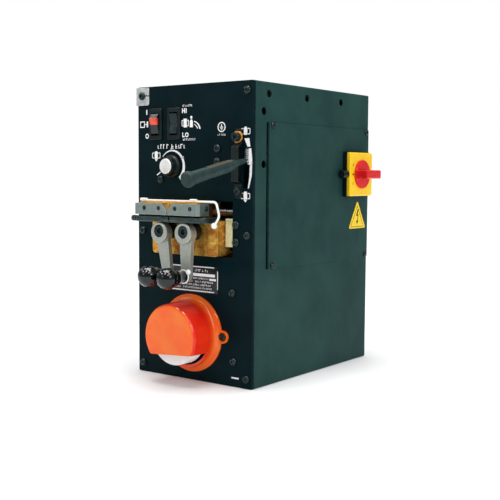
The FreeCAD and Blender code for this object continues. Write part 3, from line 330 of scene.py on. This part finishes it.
def brass():
    """Hot-worked brass: golden faces, orange and brown heat stains, black pits and weld spatter."""
    f = Finish("brass")
    stains = f.noise(13, detail=6, rough=0.62, distortion=0.8)
    fine = f.noise(2.2, detail=4, rough=0.6)
    tone = f.blend(f.remap(stains, 0.38, 0.56), colour(232, 190, 84), colour(190, 122, 48))
    tone = f.blend(f.remap(fine, 0.5, 0.72, 0, 0.75), tone, colour(140, 76, 32))
    cloud = f.remap(f.noise(24, detail=4), 0.58, 0.74, 0, 0.85)
    tone = f.blend(cloud, tone, colour(86, 74, 40))
    pits = f.remap(f.cells(3.4), 0.16, 0.1)
    tone = f.blend(pits, tone, colour(34, 30, 22))
    across = f.along((1, 0, 0))
    left, right = STEP_SHADE_X
    past_left = f.remap(across, left, left + STEP_SHADE_FADE_X)
    before_right = f.remap(across, right, right - STEP_SHADE_FADE_X)
    beside_nose = f.maths("MULTIPLY", past_left, before_right)
    above_step = f.remap(f.along((0, 0, 1)), STEP_SHADE_Z, STEP_SHADE_Z + STEP_SHADE_FADE_Z)
    painted_step_shade = f.maths("MULTIPLY", beside_nose, above_step)
    tone = f.blend(f.edges(0.9, 0.3), tone, colour(255, 226, 120))
    # painted shade: the step beside the fixed block's nose is painted near black where it lies in shade
    tone = f.blend(painted_step_shade, tone, colour(20, 28, 25))
    rough = f.remap(stains, 0.3, 0.7, 0.32, 0.55)
    normal = f.relief(pits, -0.08, under=f.relief(fine, 0.03))
    return f.set(base=tone, rough=rough, metal=0.75, normal=normal).material


def copper():
    return metal("copper", colour(206, 124, 84), colour(150, 84, 58), colour(240, 176, 140), rough=0.34,
                 grain=(1, 0.08, 1))


def jaw_steel():
    return metal("jaw_steel", colour(146, 160, 154), colour(110, 124, 119), colour(250, 252, 244), rough=0.36,
                 grain=(0.05, 1, 1), grain_mm=0.5, full=0.7)


def dark_jaw_steel():
    return metal("dark_jaw_steel", colour(66, 82, 80), colour(34, 48, 47), colour(214, 220, 210), rough=0.34,
                 grain=(0.06, 1, 1), grain_mm=0.6, full=0.75)


def cast_steel():
    return metal("cast_steel", colour(180, 184, 174), colour(150, 156, 148), colour(250, 248, 236),
                 rough=0.42, grain=(1, 1, 0.15), grain_mm=0.7, full=0.6)


def plain_steel():
    return metal("plain_steel", colour(176, 178, 176), colour(136, 140, 138), colour(235, 235, 230),
                 rough=0.28, grain=(0.2, 1, 1))


def spring_steel():
    return metal("spring_steel", colour(120, 122, 124), colour(76, 78, 80), colour(200, 202, 204), rough=0.3)


def black_steel():
    return metal("black_steel", colour(26, 40, 40), colour(10, 22, 23), colour(206, 210, 204), rough=0.34,
                 full=0.65, edge=0.2)


def black_screw():
    return metal("black_screw", colour(46, 62, 63), colour(14, 26, 28), colour(168, 180, 178), rough=0.26,
                 grain_mm=0.6, full=0.75, edge=0.5)


def spun_aluminium():
    """Spun cap: rings about its own axis, seen as a bow-tie shine."""
    f = Finish("spun_aluminium")
    centre = middle("force_knob_cap")
    out = f.add("ShaderNodeVectorMath", operation="DISTANCE")
    flat = f.add("ShaderNodeVectorMath", operation="MULTIPLY")
    f.feed(flat.inputs[0], f.place)
    flat.inputs[1].default_value = (1, 0, 1)
    f.feed(out.inputs[0], flat.outputs["Vector"])
    out.inputs[1].default_value = (centre.x, 0, centre.z)
    ring = f.add("ShaderNodeTexNoise", noise_dimensions="1D")
    f.feed(ring.inputs["W"], out.outputs["Value"])
    ring.inputs["Scale"].default_value = 1 / (0.35 * MM)
    rings = ring.outputs["Fac"]
    tone = f.blend(rings, colour(232, 232, 228), colour(252, 252, 250))
    spin = f.add("ShaderNodeTangent", direction_type="RADIAL", axis="Y")
    rough = f.remap(rings, 0.3, 0.7, 0.28, 0.36)
    f.set(base=tone, rough=rough, metal=0.6, normal=f.relief(rings, 0.002))
    return f.set(anisotropic=0.6, tangent=spin.outputs["Tangent"]).material


def cast_aluminium():
    return metal("cast_aluminium", colour(150, 152, 154), colour(112, 114, 116), colour(205, 206, 208),
                 rough=0.5, grain_mm=1.2, depth_mm=0.06, full=0.8)


def grip_plastic():
    """Moulded lever grip: dark shell with its top painted lighter as light, and a browner ribbed pad along its
    top.
    """
    f = Finish("grip_plastic")
    pivot = pivot_point()
    height = f.along((0.0, -math.sin(GRIP_TILT), math.cos(GRIP_TILT)), pivot)
    reach = f.along((0.0, -math.cos(GRIP_TILT), -math.sin(GRIP_TILT)), pivot)
    on_top = f.remap(height, *PAD_HEIGHT)
    ribbed = f.remap(reach, *PAD_END)
    pad = f.maths("MULTIPLY", on_top, ribbed)
    flow = f.remap(f.noise(12, detail=3), 0.35, 0.7)
    tone = f.blend(flow, colour(26, 48, 48), colour(40, 62, 60))
    # painted light: the grip's top is painted lighter than its underside
    tone = f.blend(f.maths("MULTIPLY", on_top, 0.4), tone, colour(70, 88, 84))
    tone = f.blend(pad, tone, colour(92, 82, 68))
    tone = f.blend(f.maths("MULTIPLY", f.edges(0.8), 0.3), tone, colour(140, 146, 138))
    grain = f.relief(f.noise(0.6, detail=2), 0.015)
    patches = f.remap(f.noise(8), 0.3, 0.7, 0.42, 0.6)
    return f.set(base=tone, rough=patches, specular=0.2, normal=grain).material


def pivot_point():
    """Where the weld lever turns, in metres."""
    joint = [j for j in frame["joints"] if j["name"] == "weld_lever_press"][0]
    return tuple(joint["pos_m"])


def grinder_key():
    """Black paddle with an orange-red signal band across its nose."""
    f = Finish("orange_tip_key")
    centre = middle("grinder_paddle")
    height = f.along((0, 0, 1), centre)
    above = f.remap(height, *BAND_FOOT)
    below = f.remap(height, *BAND_TOP)
    outside = f.remap(f.along((0, -1, 0), (0, PANEL_FACE_Y, 0)), *BAND_DEPTH)
    band = f.maths("MULTIPLY", f.maths("MULTIPLY", above, below), outside)
    flow = f.remap(f.noise(8), 0.35, 0.7)
    black = f.blend(flow, colour(6, 20, 23), colour(14, 32, 34))
    red = f.blend(flow, colour(228, 58, 40), colour(244, 92, 58))
    tone = f.blend(band, black, red)
    grain = f.relief(f.noise(0.5), 0.008)
    patches = f.remap(f.noise(5), 0.3, 0.7, 0.26, 0.4)
    return f.set(base=tone, rough=patches, specular=0.45, normal=grain).material


def guard_plastic():
    """Translucent-looking orange moulding: orange dome and rim; the side wall is painted a darker red as shade."""
    f = Finish("orange_plastic")
    depth = f.along((0, -1, 0), (0, PANEL_FACE_Y, 0))
    wall = f.maths("MULTIPLY", f.remap(depth, *WALL_START), f.remap(depth, *WALL_END))
    flow = f.remap(f.noise(30, detail=3, distortion=0.5), 0.35, 0.7)
    dome = f.blend(flow, colour(255, 98, 14), colour(255, 120, 24))
    shaded_wall_red = f.blend(flow, colour(240, 34, 20), colour(246, 56, 24))
    # painted shade: the wall between WALL_START and WALL_END gets a darker red than the dome
    tone = f.blend(wall, dome, shaded_wall_red)
    tone = f.blend(f.maths("MULTIPLY", f.edges(0.9), 0.35), tone, colour(255, 150, 70))
    ripple = f.relief(f.noise(16, detail=2), 0.12, under=f.relief(f.noise(0.8), 0.006))
    rough = f.remap(f.noise(11, detail=4), 0.3, 0.7, 0.14, 0.26)
    f.set(base=tone, rough=rough, specular=0.3, normal=ripple)
    return f.set(coat=0.2, coat_rough=0.05).material


def wheel_grit():
    f = Finish("white_abrasive")
    grit = f.cells(0.55)
    tone = f.blend(f.remap(grit, 0.1, 0.6), colour(244, 241, 237), colour(255, 254, 252))
    tone = f.blend(f.remap(f.noise(9, detail=4), 0.6, 0.8, 0, 0.35), tone, colour(190, 180, 170))
    return f.set(base=tone, rough=0.9, specular=0.2, normal=f.relief(grit, 0.12)).material


def cream_board():
    """Pressed insulating board with faint fibres and edge soiling."""
    f = Finish("cream_insulator")
    fibres = f.noise(1.1, detail=4, stretch=(1, 1, 0.2))
    tone = f.blend(f.remap(fibres, 0.35, 0.7), colour(214, 208, 158), colour(232, 228, 184))
    soil = f.remap(f.noise(10, detail=5), 0.55, 0.75, 0, 0.5)
    tone = f.blend(soil, tone, colour(186, 168, 110))
    tone = f.blend(f.edges(0.7), tone, colour(252, 250, 222))
    return f.set(base=tone, rough=0.6, specular=0.3, normal=f.relief(fibres, 0.03)).material


def lamination_steel():
    f = Finish("core_steel")
    sheets = f.add("ShaderNodeTexWave", wave_type="BANDS", bands_direction="Y")
    f.feed(sheets.inputs["Vector"], f.place)
    sheets.inputs["Scale"].default_value = 1 / (3.0 * MM)
    lines = sheets.outputs["Fac"]
    tone = f.blend(lines, colour(40, 40, 44), colour(74, 76, 80))
    tone = f.blend(f.remap(f.noise(9), 0.55, 0.7, 0, 0.4), tone, colour(96, 66, 40))
    return f.set(base=tone, rough=0.5, metal=0.4, normal=f.relief(lines, 0.08)).material


def coil_tape():
    f = Finish("coil_varnish")
    wraps = f.add("ShaderNodeTexWave", wave_type="BANDS", bands_direction="Z")
    f.feed(wraps.inputs["Vector"], f.place)
    wraps.inputs["Scale"].default_value = 1 / (24 * MM)
    wraps.inputs["Distortion"].default_value = 1.5
    tone = f.blend(wraps.outputs["Fac"], colour(120, 66, 24), colour(166, 100, 44))
    weave = f.noise(0.6, detail=2)
    normal = f.relief(weave, 0.04, under=f.relief(wraps.outputs["Fac"], 0.2))
    return f.set(base=tone, rough=0.34, coat=0.4, normal=normal).material


def printed_film(name, base, lighter):
    f = Finish(name)
    tone = f.blend(f.remap(f.noise(16, detail=3), 0.3, 0.7), base, lighter)
    return f.set(base=tone, rough=f.remap(f.noise(6), 0.3, 0.7, 0.26, 0.4), specular=0.4,
                 normal=f.relief(f.noise(1.5), 0.006)).material


def screen_print(name, base, thin):
    """Silk-screened ink with slightly thin patches."""
    f = Finish(name)
    tone = f.blend(f.remap(f.noise(1.6, detail=4), 0.56, 0.8, 0, 0.6), base, thin)
    return f.set(base=tone, rough=0.55, specular=0.3, normal=f.relief(f.noise(0.5), 0.006)).material


MATERIALS = {
    "shell_paint": shell_paint,
    "panel_paint": panel_paint,
    "zinc_sheet": zinc_sheet,
    "brass": brass,
    "copper": copper,
    "jaw_steel": jaw_steel,
    "dark_jaw_steel": dark_jaw_steel,
    "cast_steel": cast_steel,
    "plain_steel": plain_steel,
    "spring_steel": spring_steel,
    "black_steel": black_steel,
    "black_screw": black_screw,
    "spun_aluminium": spun_aluminium,
    "cast_aluminium": cast_aluminium,
    "grip_plastic": grip_plastic,
    "orange_tip_key": grinder_key,
    "orange_plastic": guard_plastic,
    "white_abrasive": wheel_grit,
    "cream_insulator": cream_board,
    "core_steel": lamination_steel,
    "coil_varnish": coil_tape,
    "black_label": lambda: printed_film("black_label", colour(1, 16, 20), colour(4, 24, 28)),
    "yellow_label": lambda: printed_film("yellow_label", colour(255, 214, 4), colour(255, 222, 20)),
    "black_plastic": lambda: moulding("black_plastic", colour(2, 16, 19), colour(16, 34, 36), specular=0.2),
    "black_key": lambda: moulding("black_key", colour(4, 28, 33), colour(14, 48, 52), rough=0.28,
                                  specular=0.25),
    "yellow_plastic": lambda: moulding("yellow_plastic", colour(255, 208, 6), colour(255, 220, 40), rough=0.3,
                                       worn=0.3),
    "red_plastic": lambda: moulding("red_plastic", colour(214, 18, 26), colour(238, 40, 44), rough=0.3,
                                    specular=0.3),
    "gloss_black": lambda: moulding("gloss_black", colour(3, 10, 12), colour(8, 20, 22), rough=0.08,
                                    specular=0.3, depth_mm=0.001, coat=0.4, worn=0.0),
    "white_plastic": lambda: moulding("white_plastic", colour(250, 250, 246), colour(255, 255, 253),
                                      rough=0.5),
    "grey_plastic": lambda: moulding("grey_plastic", colour(84, 88, 92), colour(108, 112, 116), rough=0.5),
}


def dress_nodes():
    """Gives every CAD node the finish of its record slot."""
    made = {slot: build() for slot, build in MATERIALS.items()}
    for part in frame["record"]["subparts"]:
        node = frame["nodes"][part["node"]]
        node.data.materials.clear()
        node.data.materials.append(made[part["material_slot"]])


# ---- printed markings: thin ink shapes ----
class Print:
    """Flat shapes in millimetres on a face, gathered into one thin mesh."""

    def __init__(self, origin, across, up):
        self.origin = Vector(origin)
        self.across = Vector(across)
        self.up = Vector(up)
        self.out = self.across.cross(self.up)
        self.points = []
        self.faces = []

    def outline(self, corners):
        """A filled polygon with sides, one print thickness high."""
        start = len(self.points)
        count = len(corners)
        for lift in (PRINT_LIFT, PRINT_LIFT + PRINT_THICK):
            for x, z in corners:
                on_face = self.origin + self.across * (x * MM) + self.up * (z * MM)
                self.points.append(on_face + self.out * lift)
        top = [start + count + i for i in range(count)]
        self.faces.append(top)
        self.faces.append([start + i for i in reversed(range(count))])
        for i in range(count):
            j = (i + 1) % count
            self.faces.append([start + i, start + j, start + count + j, start + count + i])

    def bar(self, x0, z0, x1, z1):
        self.outline([(x0, z0), (x1, z0), (x1, z1), (x0, z1)])

    def stroke(self, x0, z0, x1, z1, width):
        length = math.hypot(x1 - x0, z1 - z0)
        dx = -(z1 - z0) / length * width / 2
        dz = (x1 - x0) / length * width / 2
        self.outline([(x0 - dx, z0 - dz), (x1 - dx, z1 - dz), (x1 + dx, z1 + dz), (x0 + dx, z0 + dz)])

    def arc(self, x, z, radius, start, end, width_start, width_end=None, squash=1.0):
        """A band along an arc, as short joined pieces, its width changing from start to end."""
        width_end = width_start if width_end is None else width_end
        steps = max(6, int(ARC_STEPS * abs(end - start) / 360))
        rim = []
        for i in range(steps + 1):
            share = i / steps
            angle = math.radians(start + (end - start) * share)
            half = (width_start + (width_end - width_start) * share) / 2
            across, rise = squash * math.cos(angle), math.sin(angle)
            inner = (x + (radius - half) * across, z + (radius - half) * rise)
            outer = (x + (radius + half) * across, z + (radius + half) * rise)
            rim.append((inner, outer))
        for (inner, outer), (next_inner, next_outer) in zip(rim, rim[1:]):
            turn = [inner, outer, next_outer, next_inner]
            self.outline(turn if end > start else turn[::-1])

    def disc(self, x, z, radius, count=28):
        angles = [2 * math.pi * i / count for i in range(count)]
        self.outline([(x + radius * math.cos(a), z + radius * math.sin(a)) for a in angles])

    def greek(self, x0, x1, z, height, seed, glyph=0.62):
        """A run of broken marks in place of words."""
        rng = random.Random(seed)
        x = x0
        while x < x1 - height * glyph * 0.6:
            wide = height * glyph * rng.uniform(0.75, 1.15)
            pen = height * 0.2
            shape = rng.randrange(4)
            low, high = z - height / 2, z + height / 2
            if shape in (0, 2):
                self.bar(x, low, x + pen, high)
            if shape in (0, 1):
                self.bar(x + pen, high - pen, x + wide, high)
            if shape in (1, 3):
                self.bar(x + wide / 2 - pen / 2, low, x + wide / 2 + pen / 2, high - pen)
            if shape in (2, 3):
                self.bar(x + pen, low, x + wide, low + pen)
            if shape == 2:
                self.bar(x + pen, z - pen / 2, x + wide, z + pen / 2)
            x += wide + height * 0.16
            if rng.random() < 0.17:
                x += height * 0.45

    def finish(self, name, material, body, slot):
        mesh = bpy.data.meshes.new(name)
        mesh.from_pydata(self.points, [], self.faces)
        mesh.update()
        mesh.materials.append(material)
        obj = bpy.data.objects.new(name, mesh)
        bpy.context.scene.collection.objects.link(obj)
        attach(obj, body)


def front_print():
    return Print((0, PANEL_FACE_Y, 0), (1, 0, 0), (0, 0, 1))


def letter_h(art, x, z, high, wide, pen):
    art.bar(x, z, x + pen, z + high)
    art.bar(x + wide - pen, z, x + wide, z + high)
    art.bar(x + pen, z + high / 2 - pen / 2, x + wide - pen, z + high / 2 + pen / 2)


def letter_l(art, x, z, high, wide, pen):
    art.bar(x, z, x + pen, z + high)
    art.bar(x + pen, z, x + wide, z + pen)


def jaw_icon(art, x, z, arrow):
    """A pair of jaws: a solid centre block between two open brackets, with an optional arrow."""
    art.bar(x - 2.9, z - 4.6, x + 2.9, z + 4.6)
    art.bar(x - 1.8, z + 4.6, x + 1.8, z + 5.8)
    for side in (-1, 1):
        left, right = sorted((x + side * 3.6, x + side * 6.6))
        art.bar(left, z + 2.9, right, z + 4.0)
        art.bar(left, z - 4.0, right, z - 2.9)
        left, right = sorted((x + side * 6.6, x + side * 7.6))
        art.bar(left, z - 3.4, right, z + 3.4)
    if arrow:
        art.outline([(x - 2.9, z - 5.0), (x, z - 8.2), (x + 2.9, z - 5.0)])


def switch_marks(ink):
    """I and O, an open square with its plug, HI and LO, and two lines of broken marks."""
    art = front_print()
    art.bar(-85.2, 361.6, -83.2, 368.4)
    art.arc(-83.7, 332.3, 2.9, 0, 360, 1.5, squash=0.85)
    centre_x, centre_z, reach, line = -92.4, 348.4, 4.4, 1.3
    left, right = centre_x - reach, centre_x + reach
    low, high = centre_z - reach, centre_z + reach
    art.bar(left, low, left + line, high)
    art.bar(right - line, low, right, high)
    art.bar(left + line, high - line, right - line, high)
    art.bar(left + line, low, right - line, low + line)
    art.bar(-88.0, 347.9, -84.6, 349.1)
    art.bar(-84.4, 344.4, -81.8, 352.6)
    letter_h(art, -19.4, 361.7, 6.6, 5.4, 1.5)
    art.bar(-12.9, 361.7, -11.3, 368.3)
    letter_l(art, -19.0, 329.6, 6.2, 4.4, 1.5)
    art.arc(-10.9, 332.7, 2.5, 0, 360, 1.5, squash=0.95)
    art.greek(-18.6, -0.6, 371.6, 2.7, seed=3)
    art.greek(-17.6, 4.6, 326.4, 2.7, seed=5)
    art.finish("switch_marks", ink, "cabinet", "white_plastic")


def heat_marks(ink):
    """Between HI and LO: a clamped joint, a heat mark and a bent strip."""
    art = front_print()
    art.bar(-16.6, 342.6, -10.8, 354.4)
    for x in (-19.9, -8.6):
        art.bar(x, 344.4, x + 1.1, 352.4)
    for z in (344.2, 351.6):
        art.bar(-18.8, z, -16.9, z + 1.0)
        art.bar(-10.5, z, -8.7, z + 1.0)
    art.outline([(-5.6, 342.6), (-0.2, 342.6), (-0.2, 350.6), (-1.8, 353.0), (-4.0, 353.0), (-5.6, 350.6)])
    art.disc(-2.9, 355.8, 1.9)
    art.arc(-0.6, 337.4, 13.2, 78, 12, 1.2, 2.2)
    art.arc(-3.2, 334.6, 13.0, 66, 28, 0.8, 1.4)
    art.finish("heat_marks", ink, "cabinet", "white_plastic")


def force_marks(ink):
    """Force scale around the knob: a widening arc, ticks, a jaw sign and broken marks."""
    art = front_print()
    knob = middle("force_knob") / MM
    jaw_icon(art, -66.6, 305.4, arrow=True)
    art.arc(knob.x, knob.z, 21.4, 142, -50, 0.9, 5.2)
    art.stroke(-39.4, 311.5, -39.4, 315.2, 1.2)
    art.stroke(-20.6, 301.6, -16.4, 303.4, 1.2)
    art.stroke(-65.0, 278.5, -58.2, 283.0, 1.5)
    art.greek(-65.0, -41.0, 317.5, 6.0, seed=11, glyph=0.66)
    art.greek(-38.6, -11.6, 317.5, 6.0, seed=12, glyph=0.66)
    art.finish("force_marks", ink, "cabinet", "white_plastic")


def lever_marks(ink):
    """Weld travel scale beside the lever slot."""
    art = front_print()
    jaw_icon(art, 88.4, 335.2, arrow=False)
    art.outline([(91.6, 315.4), (96.2, 315.4), (94.6, 326.4), (86.6, 326.2)])
    art.outline([(94.2, 292.5), (99.2, 292.5), (99.4, 299.5), (97.7, 313.4), (93.4, 313.4), (93.4, 299.5)])
    art.outline([(92.6, 262.2), (94.2, 262.2), (98.6, 278.0), (99.2, 292.0), (95.6, 292.0), (95.0, 278.0)])
    for i in range(6):
        z = 297.0 + i * 2.7
        art.stroke(89.6, z + 1.4, 93.2, z, 0.8)
    for x, z in ((91.4, 296.2), (93.0, 293.6), (98.9, 294.8)):
        art.disc(x, z, 0.9, count=12)
    jaw_icon(art, 88.6, 252.4, arrow=True)
    art.finish("lever_marks", ink, "cabinet", "white_plastic")


def approval_mark(ink):
    """A generic protective-earth sign in a ring, and a line of broken marks."""
    art = front_print()
    x, z = 49.0, 341.6
    art.arc(x, z, 5.9, 0, 360, 1.4)
    art.bar(x - 0.6, z + 0.4, x + 0.6, z + 3.6)
    for i, half in enumerate((2.9, 1.9, 0.9)):
        low = z - 0.6 - i * 1.6
        art.bar(x - half, low, x + half, low + 0.9)
    art.greek(42.4, 56.6, 331.6, 2.3, seed=8)
    art.finish("approval_mark", ink, "cabinet", "white_plastic")


def panel_tag(ink):
    art = front_print()
    art.bar(67.0, 11.2, 79.2, 13.2)
    art.finish("panel_tag", ink, "cabinet", "white_plastic")


def label_print(ink):
    """Frame lines, blank fields and rows of broken marks on the nameplate."""
    art = Print((0, LABEL_FACE_Y, 0), (1, 0, 0), (0, 0, 1))
    for z in (122.2, 155.2):
        art.bar(-41.6, z, 37.6, z + 1.4)
    for x in (-46.8, 43.0):
        art.bar(x, 127.2, x + 1.2, 151.6)
    art.greek(3.8, 27.0, 151.0, 3.2, seed=21, glyph=0.8)
    art.bar(1.2, 143.2, 39.0, 147.0)
    art.greek(-39.0, -4.0, 146.6, 2.4, seed=22)
    art.greek(-39.0, -6.0, 141.4, 2.0, seed=27)
    art.greek(1.2, 28.0, 140.3, 2.0, seed=23)
    art.bar(29.4, 138.3, 41.0, 141.0)
    for row, (x0, x1) in enumerate(((5.0, 37.0), (-11.0, 33.0), (-16.6, 33.4))):
        art.greek(x0, x1, 135.7 - row * 4.3, 2.3, seed=30 + row)
        art.greek(-39.0, x0 - 5.0, 135.7 - row * 4.3, 2.3, seed=40 + row)
    art.finish("label_print", ink, "cabinet", "white_plastic")


def hazard_print(ink):
    """Black border and a plain lightning bolt on the yellow triangle."""
    centre = middle("hazard_label")
    low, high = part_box("hazard_label")
    art = Print((HAZARD_FACE_X, centre.y, low.z), (0, 1, 0), (0, 0, 1))
    side_margin, top_margin, base, border = 3.4, 5.2, 2.2, 0.93
    half = (high.y - low.y) / 2 / MM - side_margin
    tall = (high.z - low.z) / MM - top_margin
    corners = [Vector((-half, base)), Vector((half, base)), Vector((0, tall))]
    heart = Vector((0, base + (tall - base) / 3))
    inner = [heart + (corner - heart) * border for corner in corners]
    for i in range(3):
        j = (i + 1) % 3
        art.outline([tuple(corners[i]), tuple(corners[j]), tuple(inner[j]), tuple(inner[i])])
    art.outline([(1.6, 29.4), (-2.8, 20.4), (-0.2, 19.4), (3.6, 28.4)])
    art.outline([(-2.8, 20.4), (-2.4, 18.6), (3.0, 19.4), (3.2, 21.2)])
    art.outline([(3.2, 20.6), (1.4, 20.0), (-0.4, 11.4), (1.0, 11.0)])
    art.outline([(-2.6, 12.0), (3.2, 11.2), (-0.8, 5.8)])
    art.finish("hazard_print", ink, "cabinet", "black_label")


def isolator_marks(dark, orange):
    """A dark pointer and two orange ticks on the isolator's plate."""
    centre = middle("isolator_plate")
    art = Print((ISOLATOR_FACE_X, centre.y, centre.z), (0, 1, 0), (0, 0, 1))
    art.stroke(-26.6, 0.0, -23.6, 0.0, 1.4)
    art.outline([(-23.8, -2.2), (-21.4, 0.0), (-23.8, 2.2)])
    art.finish("isolator_pointer", dark, "cabinet", "black_label")
    art = Print((ISOLATOR_FACE_X, centre.y, centre.z), (0, 1, 0), (0, 0, 1))
    for tick_z in (-13.5, 13.5):
        art.bar(-25.4, tick_z - 2.2, -23.4, tick_z + 2.2)
    art.finish("isolator_ticks", orange, "cabinet", "red_plastic")


# ---- studio ----
def area_light(name, place, target, size, power):
    light = bpy.data.lights.new(name, "AREA")
    light.shape = "RECTANGLE"
    light.size, light.size_y = size
    light.energy = power
    obj = bpy.data.objects.new(name, light)
    obj.location = place
    direction = Vector(target) - Vector(place)
    obj.rotation_euler = direction.to_track_quat("-Z", "Y").to_euler()
    bpy.context.scene.collection.objects.link(obj)
    return obj


def studio():
    """White surroundings, a large pale floor, a wide overhead sun, soft boxes and shine strips."""
    scene = bpy.context.scene
    scene.view_settings.view_transform = "Standard"
    world = bpy.data.worlds.new("studio")
    scene.world = world
    world.use_nodes = True
    tree = world.node_tree
    sky = tree.nodes["Background"]
    path = tree.nodes.new("ShaderNodeLightPath")
    white = tree.nodes.new("ShaderNodeBackground")
    white.inputs["Color"].default_value = (1, 1, 1, 1)
    white.inputs["Strength"].default_value = 1.0
    sky.inputs["Color"].default_value = (0.93, 0.97, 1.0, 1)
    sky.inputs["Strength"].default_value = SKY_STRENGTH
    choose = tree.nodes.new("ShaderNodeMixShader")
    tree.links.new(path.outputs["Is Camera Ray"], choose.inputs["Fac"])
    tree.links.new(sky.outputs["Background"], choose.inputs[1])
    tree.links.new(white.outputs["Background"], choose.inputs[2])
    tree.links.new(choose.outputs["Shader"], tree.nodes["World Output"].inputs["Surface"])

    floor_mesh = bpy.data.meshes.new("floor")
    corners = [(x * FLOOR_REACH, y * FLOOR_REACH, 0) for x, y in ((-1, -1), (1, -1), (1, 1), (-1, 1))]
    floor_mesh.from_pydata(corners, [], [(0, 1, 2, 3)])
    floor = bpy.data.objects.new("floor", floor_mesh)
    scene.collection.objects.link(floor)
    finish = Finish("floor_paper")
    mottle = finish.noise(400, detail=2)
    paper = finish.blend(mottle, (0.9, 0.9, 0.9, 1), (0.93, 0.93, 0.93, 1))
    finish.set(base=paper, rough=0.9, specular=0.1)
    floor_mesh.materials.append(finish.material)

    sun_data = bpy.data.lights.new("overhead", "SUN")
    sun_data.energy = SUN_STRENGTH
    sun_data.angle = SUN_ANGLE
    sun = bpy.data.objects.new("overhead", sun_data)
    scene.collection.objects.link(sun)
    for name, (place, size, power) in SOFT_BOXES.items():
        area_light(name, place, AIM, size, power)
    for name, (place, power) in SHINES.items():
        shine = area_light(name, place, SHINE_AIM, SHINE_SIZE, power)
        shine.visible_diffuse = False


def camera():
    """A long lens a little above mid height, off the front right corner."""
    data = bpy.data.cameras.new("camera")
    data.sensor_width = CAMERA_SENSOR
    data.lens = CAMERA_LENS
    data.clip_end = CAMERA_REACH
    obj = bpy.data.objects.new("camera", data)
    level = math.cos(CAMERA_PITCH)
    back = Vector((math.sin(CAMERA_YAW) * level, -math.cos(CAMERA_YAW) * level, math.sin(CAMERA_PITCH)))
    right = (-back).cross(Vector((0, 0, 1))).normalized()
    up = right.cross(-back)
    rolled_right = right * math.cos(CAMERA_ROLL) + up * math.sin(CAMERA_ROLL)
    rolled_up = up * math.cos(CAMERA_ROLL) - right * math.sin(CAMERA_ROLL)
    turn = Matrix((rolled_right, rolled_up, back)).transposed()
    obj.matrix_world = Matrix.Translation(CAMERA_PLACE) @ turn.to_4x4()
    bpy.context.scene.collection.objects.link(obj)
    bpy.context.scene.camera = obj


camera()
studio()
dress_nodes()

soften(["front_panel", "side_cover", "rear_cover", "corner_clip"], 0.35)
soften(["cabinet_shell"], 0.4)
soften(["isolator_body", "isolator_plate", "isolator_knob"], 0.4)
soften(["grinder_switch", "heat_switch", "grinder_paddle", "heat_rocker"], 0.3)
soften(["fixed_jaw_block", "moving_jaw_block", "jaw_insulator"], 0.5)
soften(["fixed_jaw_plate", "moving_jaw_plate", "fixed_clamp_bar", "moving_clamp_bar"], 0.4)
soften(["fixed_clamp_arm", "moving_clamp_arm"], 0.6)
soften(["lever_strap", "strap_washer", "strap_screws", "panel_screws", "cover_screws"], 0.25)
soften(["fixed_plate_screws", "moving_plate_screws", "fixed_clamp_screw", "moving_clamp_screw"], 0.25)
soften(["weld_lever_grip", "weld_lever_shaft", "crank", "lever_bracket"], 0.35)
soften(["force_knob", "force_knob_cap", "guard", "cable_gland", "stub_screw"], 0.2)
soften(["grinding_wheel", "wheel_nut", "grinder_motor"], 0.4)
soften(["transformer_core", "transformer_coil", "contactor", "secondary_straps", "rod_bracket"], 0.5)

white_ink = screen_print("white_ink", colour(255, 255, 255), colour(226, 232, 230))
black_ink = screen_print("black_ink", colour(14, 16, 16), colour(40, 42, 40))
orange_ink = screen_print("orange_ink", colour(214, 120, 16), colour(230, 150, 30))
switch_marks(white_ink)
heat_marks(white_ink)
force_marks(white_ink)
lever_marks(white_ink)
approval_mark(white_ink)
panel_tag(white_ink)
label_print(white_ink)
hazard_print(black_ink)
isolator_marks(black_ink, orange_ink)
